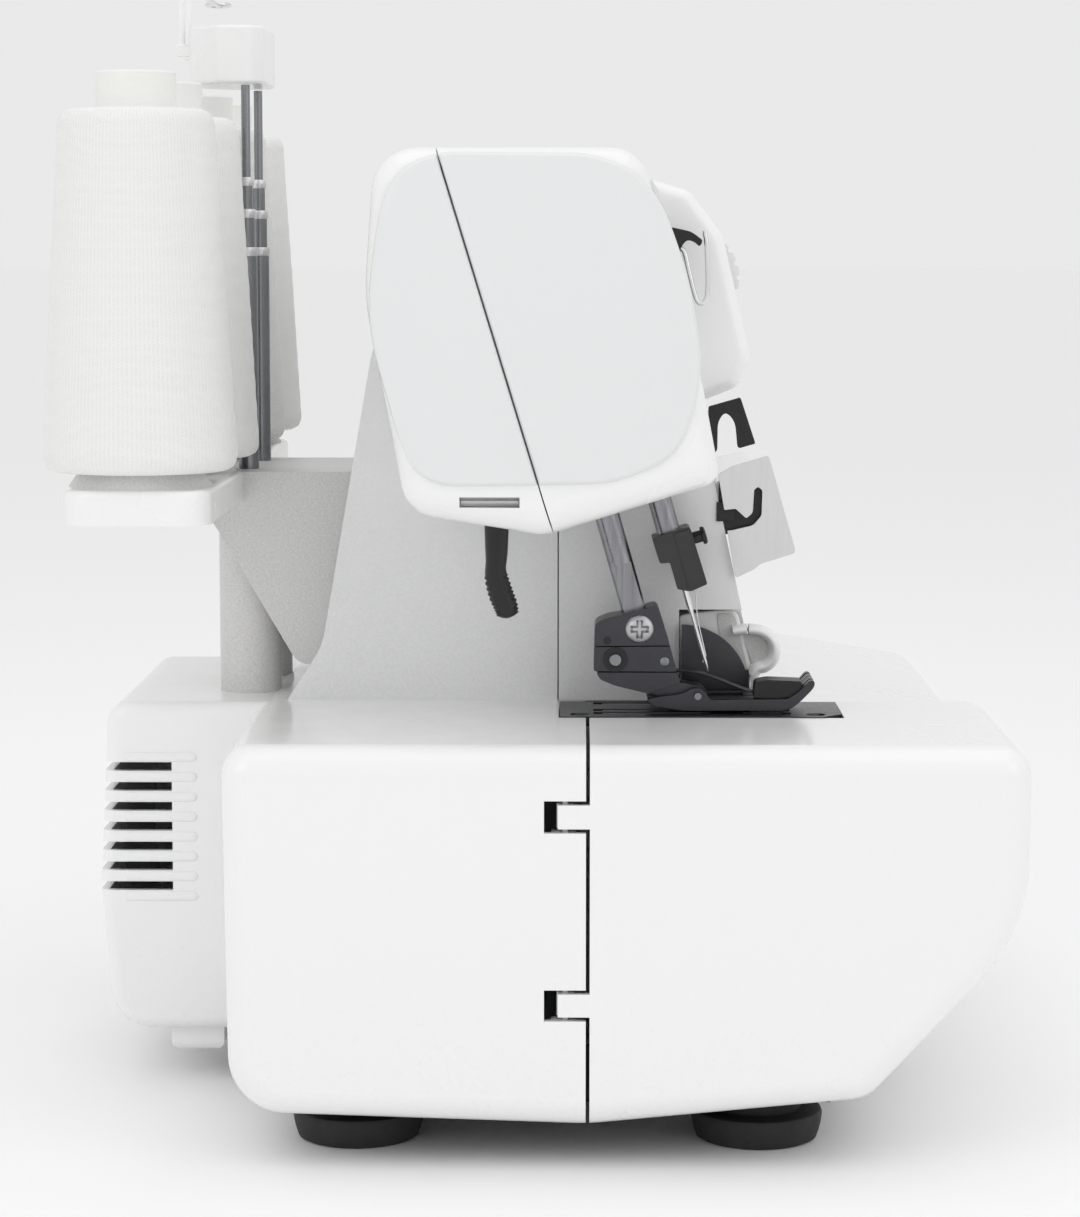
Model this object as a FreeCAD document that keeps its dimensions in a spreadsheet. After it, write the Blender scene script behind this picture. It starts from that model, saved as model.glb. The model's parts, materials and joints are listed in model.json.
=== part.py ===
import FreeCAD, Part
import math
import os
from types import SimpleNamespace

import Sketcher
from FreeCAD import Placement, Rotation, Vector

# Home serger (overlock machine). +X is the operator's right, -Y the operator, +Z up.
# The origin is on the table, under the middle of the whole machine. Millimetres.

SIZES = {
    # Base casing: reach from the origin to each side, heights above the table.
    "baseLeft": 165, "bodyRight": 147, "baseFront": 141, "baseRear": 89,
    "bedHeight": 122, "skirtHeight": 15.5, "wall": 2.5, "edgeRound": 8,
    "frontRake": 45.5, "rakeHeight": 53.5, "skirtDip": 3.2, "seamGap": 1.1, "seamPlace": 15.4,
    # Arm and column: the head overhangs the bed from headLeft to columnLeft.
    "headLeft": 155, "columnLeft": 67, "headTop": 290, "headUnder": 180.5,
    "headRear": 48, "headFront": 53, "lean": 16, "splitGap": 0.4,
    # Needle plate and the gap beside it for the knives.
    "plateLeft": 104, "plateRight": 71.5, "plateFront": 92, "plateRear": 7,
    "plateThick": 3, "plateProud": 0.3, "knifeGap": 4.5,
    # Feet and base pan.
    "footRadius": 19.5, "padTall": 9, "footHeight": 17.2, "footRear": 52.5, "footFront": 65.6,
    "footLeft": 125, "footRight": 108, "panThick": 3, "panRim": 16, "panGap": 0.5,
    "framePost": 8,
    # Bars: axis points, radii and lengths.
    "needleX": 82, "needleY": 38.2, "barHeight": 182.4, "needleBarRadius": 3.6,
    "presserX": 90, "presserY": 21, "presserBarRadius": 3.75, "barLength": 96,
    "runClear": 0.05, "bodyGap": 0.3, "bushWall": 2.2,
    "needleRadius": 0.55, "needlePitch": 2.8, "needleDrop": 27,
    # Main shaft, belt and motor.
    "shaftY": 12, "shaftZ": 86, "shaftRadius": 5.5, "wheelRadius": 33,
    "wheelWide": 15, "beltWheelRadius": 30, "beltX": 108, "beltWide": 8, "beltThick": 2.2,
    "motorY": 76, "motorZ": 62, "motorRadius": 25, "motorLong": 84,
    "pulleyRadius": 6.5, "motorShaftRadius": 3,
    # Motor cover.
    "motorCoverRear": 137.4, "motorCoverRight": 48, "ventPitch": 6.3, "ventTall": 2.8,
    "ventLow": 61.7, "ventDeep": 23,
    # Thread stand.
    "shelfLeft": 147, "shelfRight": 117, "shelfFront": 93, "shelfRear": 135.2,
    "shelfTop": 193, "shelfThick": 10, "coneY": 115, "coneInner": 44, "coneOuter": 109,
    "coneRadius": 28.5, "coneTopRadius": 22.5, "coneTall": 104, "tubeRadius": 10.5,
    "tubeProud": 10.8, "tubeBore": 8, "pinRadius": 3, "pinTall": 58,
    "discRadius": 21, "discThick": 4.3, "standMiddle": 15, "poleHalf": 20, "poleY": 92.5,
    "postRadius": 9.75, "poleRadius": 3.2, "poleStep": 0.55, "poleTop": 262,
    "secondShow": 12, "thirdShow": 10, "topShow": 29, "poleHidden": 110,
    "guideTall": 19, "guideBarLow": 347, "guideReach": 112, "eyeRadius": 4,
    "wireRadius": 0.9,
    # Tension dials.
    "dialRadius": 14.5, "dialWide": 10, "dialFirst": 38, "dialPitch": 36,
    "dialY": 48.5, "dialZ": 252.7, "housingRight": 96, "housingLeft": 61,
    # Opening covers and controls.
    "hingeBarRadius": 2, "hingeBarY": 94, "hingeBarZ": 27.5, "knuckleWall": 3,
    "hingeSlide": 8, "bracketLeft": 46, "bracketRight": 124, "bracketWide": 5,
    "clothHingeX": 161, "clothHingeY": 9, "clothPinRadius": 1.2,
    "leverX": 110, "leverY": 11.5, "leverZ": 190, "leverWide": 7.5, "leverDrop": 38,
    "controlY": 66, "stitchDialRadius": 12, "stitchDialZ": 96, "stitchDialWide": 11,
    "looperThick": 3.5, "castThick": 8, "bedPlate": 6,
}

doc = FreeCAD.newDocument("SergerOverlock")
sheet = doc.addObject("Spreadsheet::Sheet", "Sizes")
for row, (alias, number) in enumerate(SIZES.items(), start=1):
    sheet.set(f"A{row}", alias)
    sheet.set(f"B{row}", str(number))
    sheet.setAlias(f"B{row}", alias)
doc.recompute()


class Size:
    # A length with its millimetres and the sheet formula that gives them.
    def __init__(self, value, text=None):
        self.value = float(value)
        self.text = text or f"({self.value:.6f})"

    def __float__(self):
        return self.value

    def __neg__(self):
        return Size(-self.value, f"(-{self.text})")

    def __add__(self, other):
        return joined(self, "+", other, self.value + float(other))

    def __radd__(self, other):
        return joined(other, "+", self, float(other) + self.value)

    def __sub__(self, other):
        return joined(self, "-", other, self.value - float(other))

    def __rsub__(self, other):
        return joined(other, "-", self, float(other) - self.value)

    def __mul__(self, other):
        return joined(self, "*", other, self.value * float(other))

    __rmul__ = __mul__

    def __truediv__(self, other):
        return joined(self, "/", other, self.value / float(other))


def as_size(number):
    return number if isinstance(number, Size) else Size(number)


def joined(first, sign, second, value):
    return Size(value, f"({as_size(first).text} {sign} {as_size(second).text})")


s = SimpleNamespace(**{name: Size(number, f"Sizes.{name}") for name, number in SIZES.items()})
COS = math.cos(math.radians(SIZES["lean"]))
SIN = math.sin(math.radians(SIZES["lean"]))
UPRIGHT = Rotation()
LEANED = Rotation(Vector(1, 0, 0), -SIZES["lean"])
ALONG = {
    "x": Rotation(Vector(0, 0, 1), Vector(1, 0, 0)),
    "y": Rotation(Vector(0, 0, 1), Vector(0, 1, 0)),
    "z": UPRIGHT,
}
nodes = {}


# Shape helpers: every size and place that comes from the sheet is bound to it.

def bind(item, path, size):
    if isinstance(size, Size) and "Sizes." in size.text:
        item.setExpression(path, size.text)
        return
    setattr(item, path, float(size))


def place(item, point, turn=UPRIGHT):
    item.Placement = Placement(Vector(*[float(value) for value in point]), turn)
    for axis, value in zip("xyz", point):
        if isinstance(value, Size):
            item.setExpression(f"Placement.Base.{axis}", value.text)
    return item


def box(name, across, along, up, turn=UPRIGHT, corner=None):
    item = doc.addObject("Part::Box", name)
    for side, (low, high) in zip(("Length", "Width", "Height"), (across, along, up)):
        bind(item, side, high - low)
    return place(item, corner or (across[0], along[0], up[0]), turn)


def rod(name, radius, point, length, direction="z", turn=None):
    item = doc.addObject("Part::Cylinder", name)
    bind(item, "Radius", radius)
    bind(item, "Height", length)
    return place(item, point, turn or ALONG[direction])


def taper(name, low_radius, high_radius, point, length, direction="z", turn=None):
    item = doc.addObject("Part::Cone", name)
    bind(item, "Radius1", low_radius)
    bind(item, "Radius2", high_radius)
    bind(item, "Height", length)
    return place(item, point, turn or ALONG[direction])


def fuse(name, *parts):
    item = doc.addObject("Part::MultiFuse", name)
    item.Shapes = list(parts)
    return item


def group(name, *parts):
    item = doc.addObject("Part::Compound", name)
    item.Links = list(parts)
    return item


def cut(name, base, *tools):
    item = doc.addObject("Part::Cut", name)
    item.Base = base
    item.Tool = tools[0] if len(tools) == 1 else fuse(name + "Tools", *tools)
    return item


def common(name, first, second):
    item = doc.addObject("Part::MultiCommon", name)
    item.Shapes = [first, second]
    return item


def rounded(name, base, radius, wanted):
    doc.recompute()
    item = doc.addObject("Part::Fillet", name)
    item.Base = base
    value = float(radius)
    item.Edges = [
        (number, value, value)
        for number, edge in enumerate(base.Shape.Edges, start=1) if wanted(edge)
    ]
    return item


def at_x(place_x):
    return lambda edge: all(abs(v.X - float(place_x)) < 1e-4 for v in edge.Vertexes)


def at_z(place_z):
    return lambda edge: all(abs(v.Z - float(place_z)) < 1e-4 for v in edge.Vertexes)


def corner_frames(corners):
    # For each corner of a closed outline: its point, radius, and the unit ways in and out.
    points = [Vector(float(c[0]), float(c[1]), 0) for c in corners]
    frames = []
    for index, point in enumerate(points):
        way_in = (point - points[index - 1]).normalize()
        way_out = (points[(index + 1) % len(points)] - point).normalize()
        radius = corners[index][2] if len(corners[index]) > 2 else 0
        frames.append((point, radius, way_in, way_out))
    return frames


def inset(corners, wall):
    # The same anticlockwise outline moved inwards by one wall, radii included.
    moved = []
    for corner, (point, radius, way_in, way_out) in zip(corners, corner_frames(corners)):
        normal_in = Vector(-way_in.y, way_in.x, 0)
        normal_out = Vector(-way_out.y, way_out.x, 0)
        shift = (normal_in + normal_out) * (1 / (1 + normal_in.dot(normal_out)))
        convex = way_in.x * way_out.y > way_in.y * way_out.x
        inner = radius - wall if convex else radius + wall
        kept = inner if float(radius) and float(inner) > 0.5 else 0
        moved.append((corner[0] + wall * shift.x, corner[1] + wall * shift.y, kept))
    return moved


def draw(sketch, corners):
    # Lines join the corners anticlockwise; a corner with a radius becomes a tangent arc.
    frames = corner_frames(corners)
    count = len(frames)
    entries, leaves, arcs = [], [], {}
    for index, (point, radius, way_in, way_out) in enumerate(frames):
        cross = way_in.x * way_out.y - way_in.y * way_out.x
        turn = math.atan2(cross, way_in.dot(way_out))
        reach = float(radius) * math.tan(abs(turn) / 2)
        entries.append(point - way_in * reach)
        leaves.append(point + way_out * reach)
        if float(radius) > 0:
            side = math.copysign(1, turn)
            normal = Vector(-way_in.y, way_in.x, 0) * (float(radius) * side)
            centre = entries[-1] + normal
            first, last = (entries[-1], leaves[-1]) if side > 0 else (leaves[-1], entries[-1])
            angles = [math.atan2(p.y - centre.y, p.x - centre.x) for p in (first, last)]
            circle = Part.Circle(centre, Vector(0, 0, 1), float(radius))
            arcs[index] = (Part.ArcOfCircle(circle, *angles), side > 0)
    geometry = [
        Part.LineSegment(leaves[i], entries[(i + 1) % count]) for i in range(count)
    ]
    geometry += [arc for arc, _ in arcs.values()]
    sketch.addGeometry(geometry, False)
    marks = {i: count + len(arcs) + k for k, i in enumerate(arcs)}
    sketch.addGeometry([Part.Point(frames[i][0]) for i in arcs], True)
    make = Sketcher.Constraint
    rules, bound = [], []
    for index, corner in enumerate(corners):
        before = (index - 1) % count
        if index in arcs:
            arc = count + list(arcs).index(index)
            start, end = (1, 2) if arcs[index][1] else (2, 1)
            held = (marks[index], 1)
            rules.append(make("Tangent", before, 2, arc, start))
            rules.append(make("Tangent", arc, end, index, 1))
            rules.append(make("PointOnObject", *held, before))
            rules.append(make("PointOnObject", *held, index))
            bound.append((len(rules), corner[2]))
            rules.append(make("Radius", arc, float(corner[2])))
        else:
            held = (index, 1)
            rules.append(make("Coincident", before, 2, index, 1))
        for kind, value in zip(("DistanceX", "DistanceY"), corner):
            bound.append((len(rules), value))
            rules.append(make(kind, -1, 1, *held, float(value)))
    sketch.addConstraint(rules)
    for number, value in bound:
        if isinstance(value, Size) and "Sizes." in value.text:
            sketch.setExpression(f"Constraints[{number}]", value.text)


def prism(name, plane, corners, start, end):
    # An outline in the YZ, XZ or XY plane, padded from start to end along the third axis.
    body = doc.addObject("PartDesign::Body", name)
    sketch = body.newObject("Sketcher::SketchObject", name + "Outline")
    origin = [f for f in body.Origin.OriginFeatures if f.Role == plane + "_Plane"][0]
    sketch.AttachmentSupport = [(origin, "")]
    sketch.MapMode = "FlatFace"
    offset = as_size(-end if plane == "XZ" else start)
    sketch.AttachmentOffset = Placement(Vector(0, 0, float(offset)), Rotation())
    sketch.setExpression(".AttachmentOffset.Base.z", offset.text)
    draw(sketch, corners)
    pad = body.newObject("PartDesign::Pad", name + "Pad")
    pad.Profile = sketch
    bind(pad, "Length", end - start)
    return body


def leaned_point(origin, across=0, behind=0, up=0):
    # A place measured along a leaning bar, from the bar's own reference point.
    x, y, z = origin
    return (x + across, y + (behind * COS + up * SIN), z + (up * COS - behind * SIN))


def leaned_rod(name, radius, origin, low, high, across=0, behind=0):
    point = leaned_point(origin, across, behind, low)
    return rod(name, radius, point, high - low, turn=LEANED)


def leaned_box(name, origin, across, behind, up):
    corner = leaned_point(origin, across[0], behind[0], up[0])
    return box(name, across, behind, up, LEANED, corner)


def node(label, item):
    item.Label = label
    nodes[label] = item
    return item


NEEDLE = (-s.needleX, -s.needleY, s.barHeight)
PRESSER = (-s.presserX, -s.presserY, s.barHeight)
SHAFT = (s.shaftY, s.shaftZ)


# Outlines in the YZ plane, anticlockwise: (y, z) or (y, z, corner radius).

def base_outline():
    rear, front, low = s.baseRear, -s.baseFront, s.skirtHeight
    return [
        (rear - 1.5, low, 17), (rear, s.bedHeight, s.edgeRound + 1),
        (front, s.bedHeight, s.edgeRound + 1), (front, low + s.rakeHeight, 52),
        (front + s.frontRake, low + 4.5, 12), (-s.seamPlace, low - s.skirtDip, 60),
    ]


def looper_cover_outline():
    rear = -(s.columnLeft + 3)
    front, low = -s.baseFront, s.skirtHeight
    return [
        (rear - 2.6, low + 2.4), (rear, low + 10), (rear, s.bedHeight - 0.8), (front + 4, s.bedHeight - 12, 12),
        (front - 2.5, s.bedHeight - 33, 20), (front - 1, low + s.rakeHeight, 34),
        (front + s.frontRake, low + 5, 10),
    ]


def head_outline():
    return [
        (-s.headFront, s.headUnder + 15.5, 5), (-3, s.headUnder, 12),
        (s.headRear - 11.5, s.headUnder + 6.5, 11), (s.headRear, s.headUnder + 67.5, 60),
        (s.headRear - 3, s.headTop, 13), (-s.headFront + 23, s.headTop, 11),
        (-s.headFront + 5, s.headUnder + 41.5, 60),
    ]


def column_outline():
    return [
        (s.headRear + 30, s.bedHeight), (s.headRear + 19, s.bedHeight + 17, 22),
        (s.headRear + 3.6, s.headUnder + 47, 60), (s.headRear - 3, s.headUnder + 72),
        (0, s.headTop - 28), (-s.headFront + 9, s.headUnder + 52),
        (-s.headFront - 1, s.headUnder + 12, 40), (-s.headFront - 16.5, s.bedHeight),
    ]


# Fixed casings.

def base_casings():
    left, right = -s.baseLeft, s.bodyRight
    outer = prism("BaseOuter", "YZ", base_outline(), left, right)
    outer = rounded("BaseRoundLeft", outer, s.edgeRound, at_x(left))
    outer = rounded("BaseRound", outer, s.edgeRound, at_x(right))
    inner = prism("BaseInner", "YZ", inset(base_outline(), s.wall), left + s.wall, right - s.wall)
    inner = rounded("BaseInnerLeft", inner, s.edgeRound - s.wall, at_x(left + s.wall))
    below = box("BaseOpenBelow", (left + 12, right - 10), (-86, 68), (0, s.skirtHeight + 14))
    shell = cut("BaseShell", outer, inner, below)
    return outer, shell


def rear_base_cover(shell):
    seam = -s.seamPlace + s.seamGap / 2
    left, low = -s.baseLeft, s.bedHeight - s.plateThick - 1
    region = box("RearRegion", (left - 5, s.bodyRight + 5), (seam, 200), (0, 200))
    right_end = box(
        "RightEndRegion", (s.bodyRight - 14, s.bodyRight + 5),
        (-s.columnLeft - 2.4, seam + 1), (0, 200))
    kept = common("RearCoverRaw", shell, fuse("RearRegions", region, right_end))
    under_column = box(
        "UnderColumn", (-s.columnLeft + 5, s.bodyRight - 6), (seam - 1, 72), (low, low + 20))
    plate = box(
        "RearPlateRecess", (-s.plateLeft - s.bodyGap, -s.columnLeft + s.bodyGap),
        (seam - 1, -s.plateRear + s.bodyGap), (low, low + 20))
    motor_way = box(
        "MotorWay", (-s.columnLeft + 5, s.motorCoverRight - 5), (70, 100), (25, 112))
    shaft_way = rod("ShaftWay", 12, (s.bodyRight - 8, *SHAFT), 20, "x")
    inlet_way = box("InletWay", (s.bodyRight - 8, s.bodyRight + 8), (56, 76), (27, 41))
    switch_way = box("SwitchWay", (s.bodyRight - 8, s.bodyRight + 8), (28, 46), (27, 41))
    dial_way = rod("DialWay", 3, (s.bodyRight - 8, s.controlY, s.stitchDialZ), 20, "x")
    lever_way = rod("FeedWay", 3, (s.bodyRight - 8, s.controlY, 52), 20, "x")
    notches = [
        box(f"HingeNotch{mark}", (left - 5, left + 6), (seam - 1, -3), (low_edge, high_edge))
        for mark, (low_edge, high_edge) in enumerate(HINGE_NOTCHES)
    ]
    cover = cut(
        "RearCoverCut", kept, under_column, plate, motor_way, shaft_way, inlet_way,
        switch_way, dial_way, lever_way, *notches)
    lugs = []
    for mark, (low_edge, high_edge) in enumerate(HINGE_NOTCHES):
        for step, edge in enumerate((low_edge - 3, high_edge)):
            lugs.append(box(
                f"HingeLug{mark}{step}", (left + 1.5, left + 7), (-12, -5), (edge, edge + 3)))
    holes = [
        rod(f"HingeLugHole{mark}", s.clothPinRadius, (-s.clothHingeX, -s.clothHingeY, low_edge - 4),
            high_edge - low_edge + 8)
        for mark, (low_edge, high_edge) in enumerate(HINGE_NOTCHES)
    ]
    node("base_rear_cover", cut("RearCover", fuse("RearCoverLugged", cover, *lugs), *holes))
    pins = [
        rod(f"ClothPin{mark}", s.clothPinRadius, (-s.clothHingeX, -s.clothHingeY, low_edge - 3),
            high_edge - low_edge + 6)
        for mark, (low_edge, high_edge) in enumerate(HINGE_NOTCHES)
    ]
    node("cloth_cover_pins", group("ClothPins", *pins))


HINGE_NOTCHES = ((43.7, 52.7), (97.8, 107.0))


def cloth_plate_cover(shell):
    seam = -s.seamPlace - s.seamGap / 2
    left = -s.baseLeft
    region = box(
        "ClothRegion", (left - 5, -s.columnLeft - 0.5), (-250, seam), (0, 200))
    kept = common("ClothRaw", shell, region)
    plate = box(
        "ClothPlateRecess", (-s.plateLeft - s.bodyGap, -s.columnLeft + 5),
        (-s.plateFront - s.bodyGap, seam + 1), (s.bedHeight - s.plateThick - 1, s.bedHeight + 5))
    opened = cut("ClothOpened", kept, plate)
    parts, bores = [opened], []
    for mark, (low_edge, high_edge) in enumerate(HINGE_NOTCHES):
        low, high = low_edge + 1.2, high_edge - 1.2
        parts.append(box(f"HingeTab{mark}", (left, left + s.wall), (seam - 1, -6.9), (low, high)))
        parts.append(rod(
            f"HingeKnuckle{mark}", s.clothPinRadius + 1.3,
            (-s.clothHingeX, -s.clothHingeY, low), high - low))
        bores.append(rod(
            f"HingeBore{mark}", s.clothPinRadius + s.runClear,
            (-s.clothHingeX, -s.clothHingeY, low - 1), high - low + 2))
    node("cloth_plate_cover", cut("ClothCover", fuse("ClothFused", *parts), *bores))


def looper_cover():
    left, right = -s.columnLeft + 0.5, s.bodyRight
    outline = looper_cover_outline()
    outer = prism("LooperOuter", "YZ", outline, left, right)
    outer = rounded("LooperOuterRound", outer, s.edgeRound - 3, at_x(right))
    inner = prism("LooperInner", "YZ", inset(outline, s.wall), left - 1, right - s.wall)
    behind = box("LooperOpenBack", (left - 1, right - s.wall), (-95, -60), (0, s.bedHeight - 8))
    shell = cut("LooperShell", outer, inner, behind)
    knuckles, bores = [], []
    for mark, low in enumerate((-30, 104)):
        spot = (low, -s.hingeBarY, s.hingeBarZ)
        knuckles.append(rod(
            f"LooperKnuckle{mark}", s.hingeBarRadius + s.knuckleWall, spot, 8, "x"))
        bores.append(rod(
            f"LooperBore{mark}", s.hingeBarRadius + s.runClear, (low - 1, *spot[1:]), 10, "x"))
    for mark, low in enumerate((-s.bracketLeft, s.bracketRight)):
        bores.append(box(
            f"BracketRoom{mark}", (low - s.hingeSlide - 1, low + s.bracketWide + 1),
            (-s.hingeBarY - 6.4, -80), (0, s.hingeBarZ + 3)))
    node("looper_cover", cut("LooperCover", fuse("LooperFused", shell, *knuckles), *bores))
    bar = rod("HingeBar", s.hingeBarRadius, (-50, -s.hingeBarY, s.hingeBarZ), 184, "x")
    node("cover_hinge_bar", bar)


def arm_covers():
    left, right = -s.headLeft, s.bodyRight
    head = prism("HeadOuter", "YZ", head_outline(), left, right)
    head = rounded("HeadRoundLeft", head, s.edgeRound + 1, at_x(left))
    head = rounded("HeadRound", head, s.edgeRound - 2, at_x(right))
    column = prism("ColumnOuter", "YZ", column_outline(), -s.columnLeft, right)
    outer = fuse("ArmOuter", head, column)
    head_in = prism("HeadInner", "YZ", inset(head_outline(), s.wall), left + s.wall, right - s.wall)
    head_in = rounded("HeadInnerRound", head_in, s.edgeRound + 1 - s.wall, at_x(left + s.wall))
    column_in = prism(
        "ColumnInner", "YZ", inset(column_outline(), s.wall),
        -s.columnLeft + s.wall, right - s.wall)
    below = box(
        "ColumnOpenBelow", (-s.columnLeft + s.wall, right - s.wall), (-63, 70),
        (s.bedHeight - 1, s.bedHeight + 6))
    shell = cut("ArmShell", outer, head_in, column_in, below)
    tools = [
        box("BarsWay", (-s.presserX - 9, -s.needleX + 9), (-46, -12), (s.headUnder - 5, 200)),
        box("LeverWay", (-s.leverX - 5.5, -s.leverX + 5.5), (3, 33), (s.headUnder - 5, 192)),
        box("KnifeWay", (-s.columnLeft - 5, -s.columnLeft + 13), (-80, -43.8), (100, 150.5)),
        box("CutterWay", (left - 5, left + 5), (4, 21), (189, 192)),
        box("TakeUpWay", (-74.5, -69.5), (-60, -25), (226, 278)),
    ]
    for spot in dial_places():
        tools.append(box(
            f"DialSlot{len(tools)}", (spot - 1, spot + s.dialWide + 7), (-80, -28),
            (s.dialZ - 17, s.dialZ + 17)))
    opened = cut("ArmOpened", shell, *tools)
    half = s.splitGap / 2
    rear = [
        (-6.3 + half, 90), (200, 90), (200, 400), (61.1 + half, 400), (-6.3 + half, 179),
    ]
    front = [
        (-6.3 - half, 90), (-6.3 - half, 179), (61.1 - half, 400), (-200, 400), (-200, 90),
    ]
    rear_region = prism("ArmRearRegion", "YZ", rear, left - 5, right + 5)
    node("arm_rear_cover", common("ArmRear", opened, rear_region))
    column_region = prism("ArmFrontRegion", "YZ", front, -s.columnLeft - 0.05, right + 5)
    node("arm_front_cover", common("ArmFront", opened, column_region))
    face_region = prism("FaceRegion", "YZ", front, left - 5, -s.columnLeft - 0.25)
    node("face_cover", common("Face", opened, face_region))
    return outer


def dial_places():
    return [-s.dialFirst - s.dialWide / 2 + s.dialPitch * step for step in range(4)]


def tension_housing(arm_outer):
    outline = [
        (-30, 262), (-35, 283), (-46.8, 279.5, 7), (-57, 266, 12), (-66, 228, 7),
        (-62, 219, 5), (-44, 212),
    ]
    left, right = -s.housingLeft, s.housingRight
    outer = prism("HousingOuter", "YZ", outline, left, right)
    outer = rounded("HousingRound", outer, 4, at_x(left))
    inner = prism("HousingInner", "YZ", inset(outline, s.wall), left + s.wall, right - s.wall)
    tools = [inner, arm_outer]
    for mark, spot in enumerate(dial_places()):
        tools.append(box(
            f"HousingSlot{mark}", (spot - 0.6, spot + s.dialWide + 0.6), (-80, -40),
            (s.dialZ - 16, s.dialZ + 16)))
    node("tension_housing", cut("Housing", outer, *tools))
    discs = []
    for mark, spot in enumerate(dial_places()):
        rear = spot + s.dialWide + 1.5
        discs.append(rod(f"TensionDiscs{mark}", 7, (rear, -s.dialY + 4, s.dialZ), 2.4, "x"))
        discs.append(rod(
            f"TensionStud{mark}", 2, (spot - 4, -s.dialY, s.dialZ), s.dialWide + 14, "x"))
        discs.append(box(
            f"TensionBracket{mark}", (rear + 2.4, rear + 4), (-s.dialY - 2, -20),
            (s.dialZ - 8, s.dialZ + 8)))
    node("tension_discs", fuse("TensionDiscsAll", *discs))
    names = ("left_needle", "right_needle", "upper_looper", "lower_looper")
    for name, spot in zip(names, dial_places()):
        wheel = rod(f"Dial_{name}", s.dialRadius, (spot, -s.dialY, s.dialZ), s.dialWide, "x")
        bore = rod(
            f"DialBore_{name}", 2 + s.runClear, (spot - 1, -s.dialY, s.dialZ), s.dialWide + 2, "x")
        grips = [
            rod(f"DialGrip_{name}{step}", 0.9,
                (spot - 1, -s.dialY + s.dialRadius * math.cos(step * math.tau / 20),
                 s.dialZ + s.dialRadius * math.sin(step * math.tau / 20)), s.dialWide + 2, "x")
            for step in range(20)
        ]
        node(f"tension_dial_{name}", cut(f"DialCut_{name}", wheel, bore, *grips))


def motor_cover(base_outer, arm_outer):
    rear = s.motorCoverRear
    outline = [
        (s.baseRear - 12, 17), (rear - 4, 17, 13), (rear, 62, 70), (rear - 3, s.bedHeight - 1, 7),
        (s.baseRear - 12, s.bedHeight - 1),
    ]
    left, right = -s.columnLeft, s.motorCoverRight
    outer = prism("MotorCoverOuter", "YZ", outline, left, right)
    outer = rounded("MotorCoverLeft", outer, 4, at_x(left))
    inner = prism("MotorCoverInner", "YZ", inset(outline, s.wall), left + s.wall, right - s.wall)
    open_front = box("MotorCoverOpen", (left + s.wall, right - s.wall), (70, 95), (25, 112))
    vents = [
        box(f"Vent{step}", (left - 5, left + 22), (rear - s.ventDeep, rear + 5),
            (s.ventLow + s.ventPitch * step, s.ventLow + s.ventPitch * step + s.ventTall))
        for step in range(7)
    ]
    bump = box("MotorCoverBump", (left + 6, left + 40), (99.5, 116.3), (9, 17))
    bump = rounded("MotorCoverBumpRound", bump, 3, at_z(9))
    hollow = cut("MotorCoverHollow", outer, inner, open_front, base_outer, *vents)
    node("motor_cover", fuse("MotorCover", hollow, bump))


# Base pan, feet and cast frame.

def base_pan():
    gap = s.panGap
    across = (-s.baseLeft + 12 + gap, s.bodyRight - 10 - gap)
    along = (-86 + gap, 68 - gap)
    low = s.footHeight
    tray = box("PanOuter", across, along, (low, low + s.panRim))
    hollow = box(
        "PanInner", (across[0] + 3, across[1] - 3), (along[0] + 3, along[1] - 3),
        (low + s.panThick, low + s.panRim + 1))
    parts = [cut("PanTray", tray, hollow)]
    bores = []
    for mark, spot in enumerate((-s.bracketLeft, s.bracketRight)):
        parts.append(box(
            f"HingeBracket{mark}", (spot, spot + s.bracketWide),
            (-s.hingeBarY - 3.4, along[0] + 1), (s.hingeBarZ - 3.5, s.hingeBarZ + 2.5)))
        parts.append(box(
            f"HingeBracketFoot{mark}", (spot, spot + s.bracketWide), (along[0], along[0] + 3),
            (low + s.panThick, s.hingeBarZ + 2.5)))
        bores.append(rod(
            f"HingeBracketBore{mark}", s.hingeBarRadius + s.runClear,
            (spot - 1, -s.hingeBarY, s.hingeBarZ), s.bracketWide + 2, "x"))
    bores.append(box(
        "InletRoom", (across[1] - 4, across[1] + 1), (s.controlY - 11, 70), (26, 40)))
    node("base_pan", cut("BasePan", fuse("PanFused", *parts), *bores))
    feet = []
    for across_mark, x in (("L", -s.footLeft), ("R", s.footRight)):
        for along_mark, y in (("F", -s.footFront), ("B", s.footRear)):
            name = f"Foot{across_mark}{along_mark}"
            pad = taper(name + "Pad", s.footRadius - 1.5, s.footRadius, (x, y, 0), s.padTall)
            stem = rod(name + "Stem", 13, (x, y, s.padTall - 1), s.footHeight - s.padTall + 1)
            feet.append(fuse(name, pad, stem))
    node("rubber_feet", group("Feet", *feet))


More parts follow.
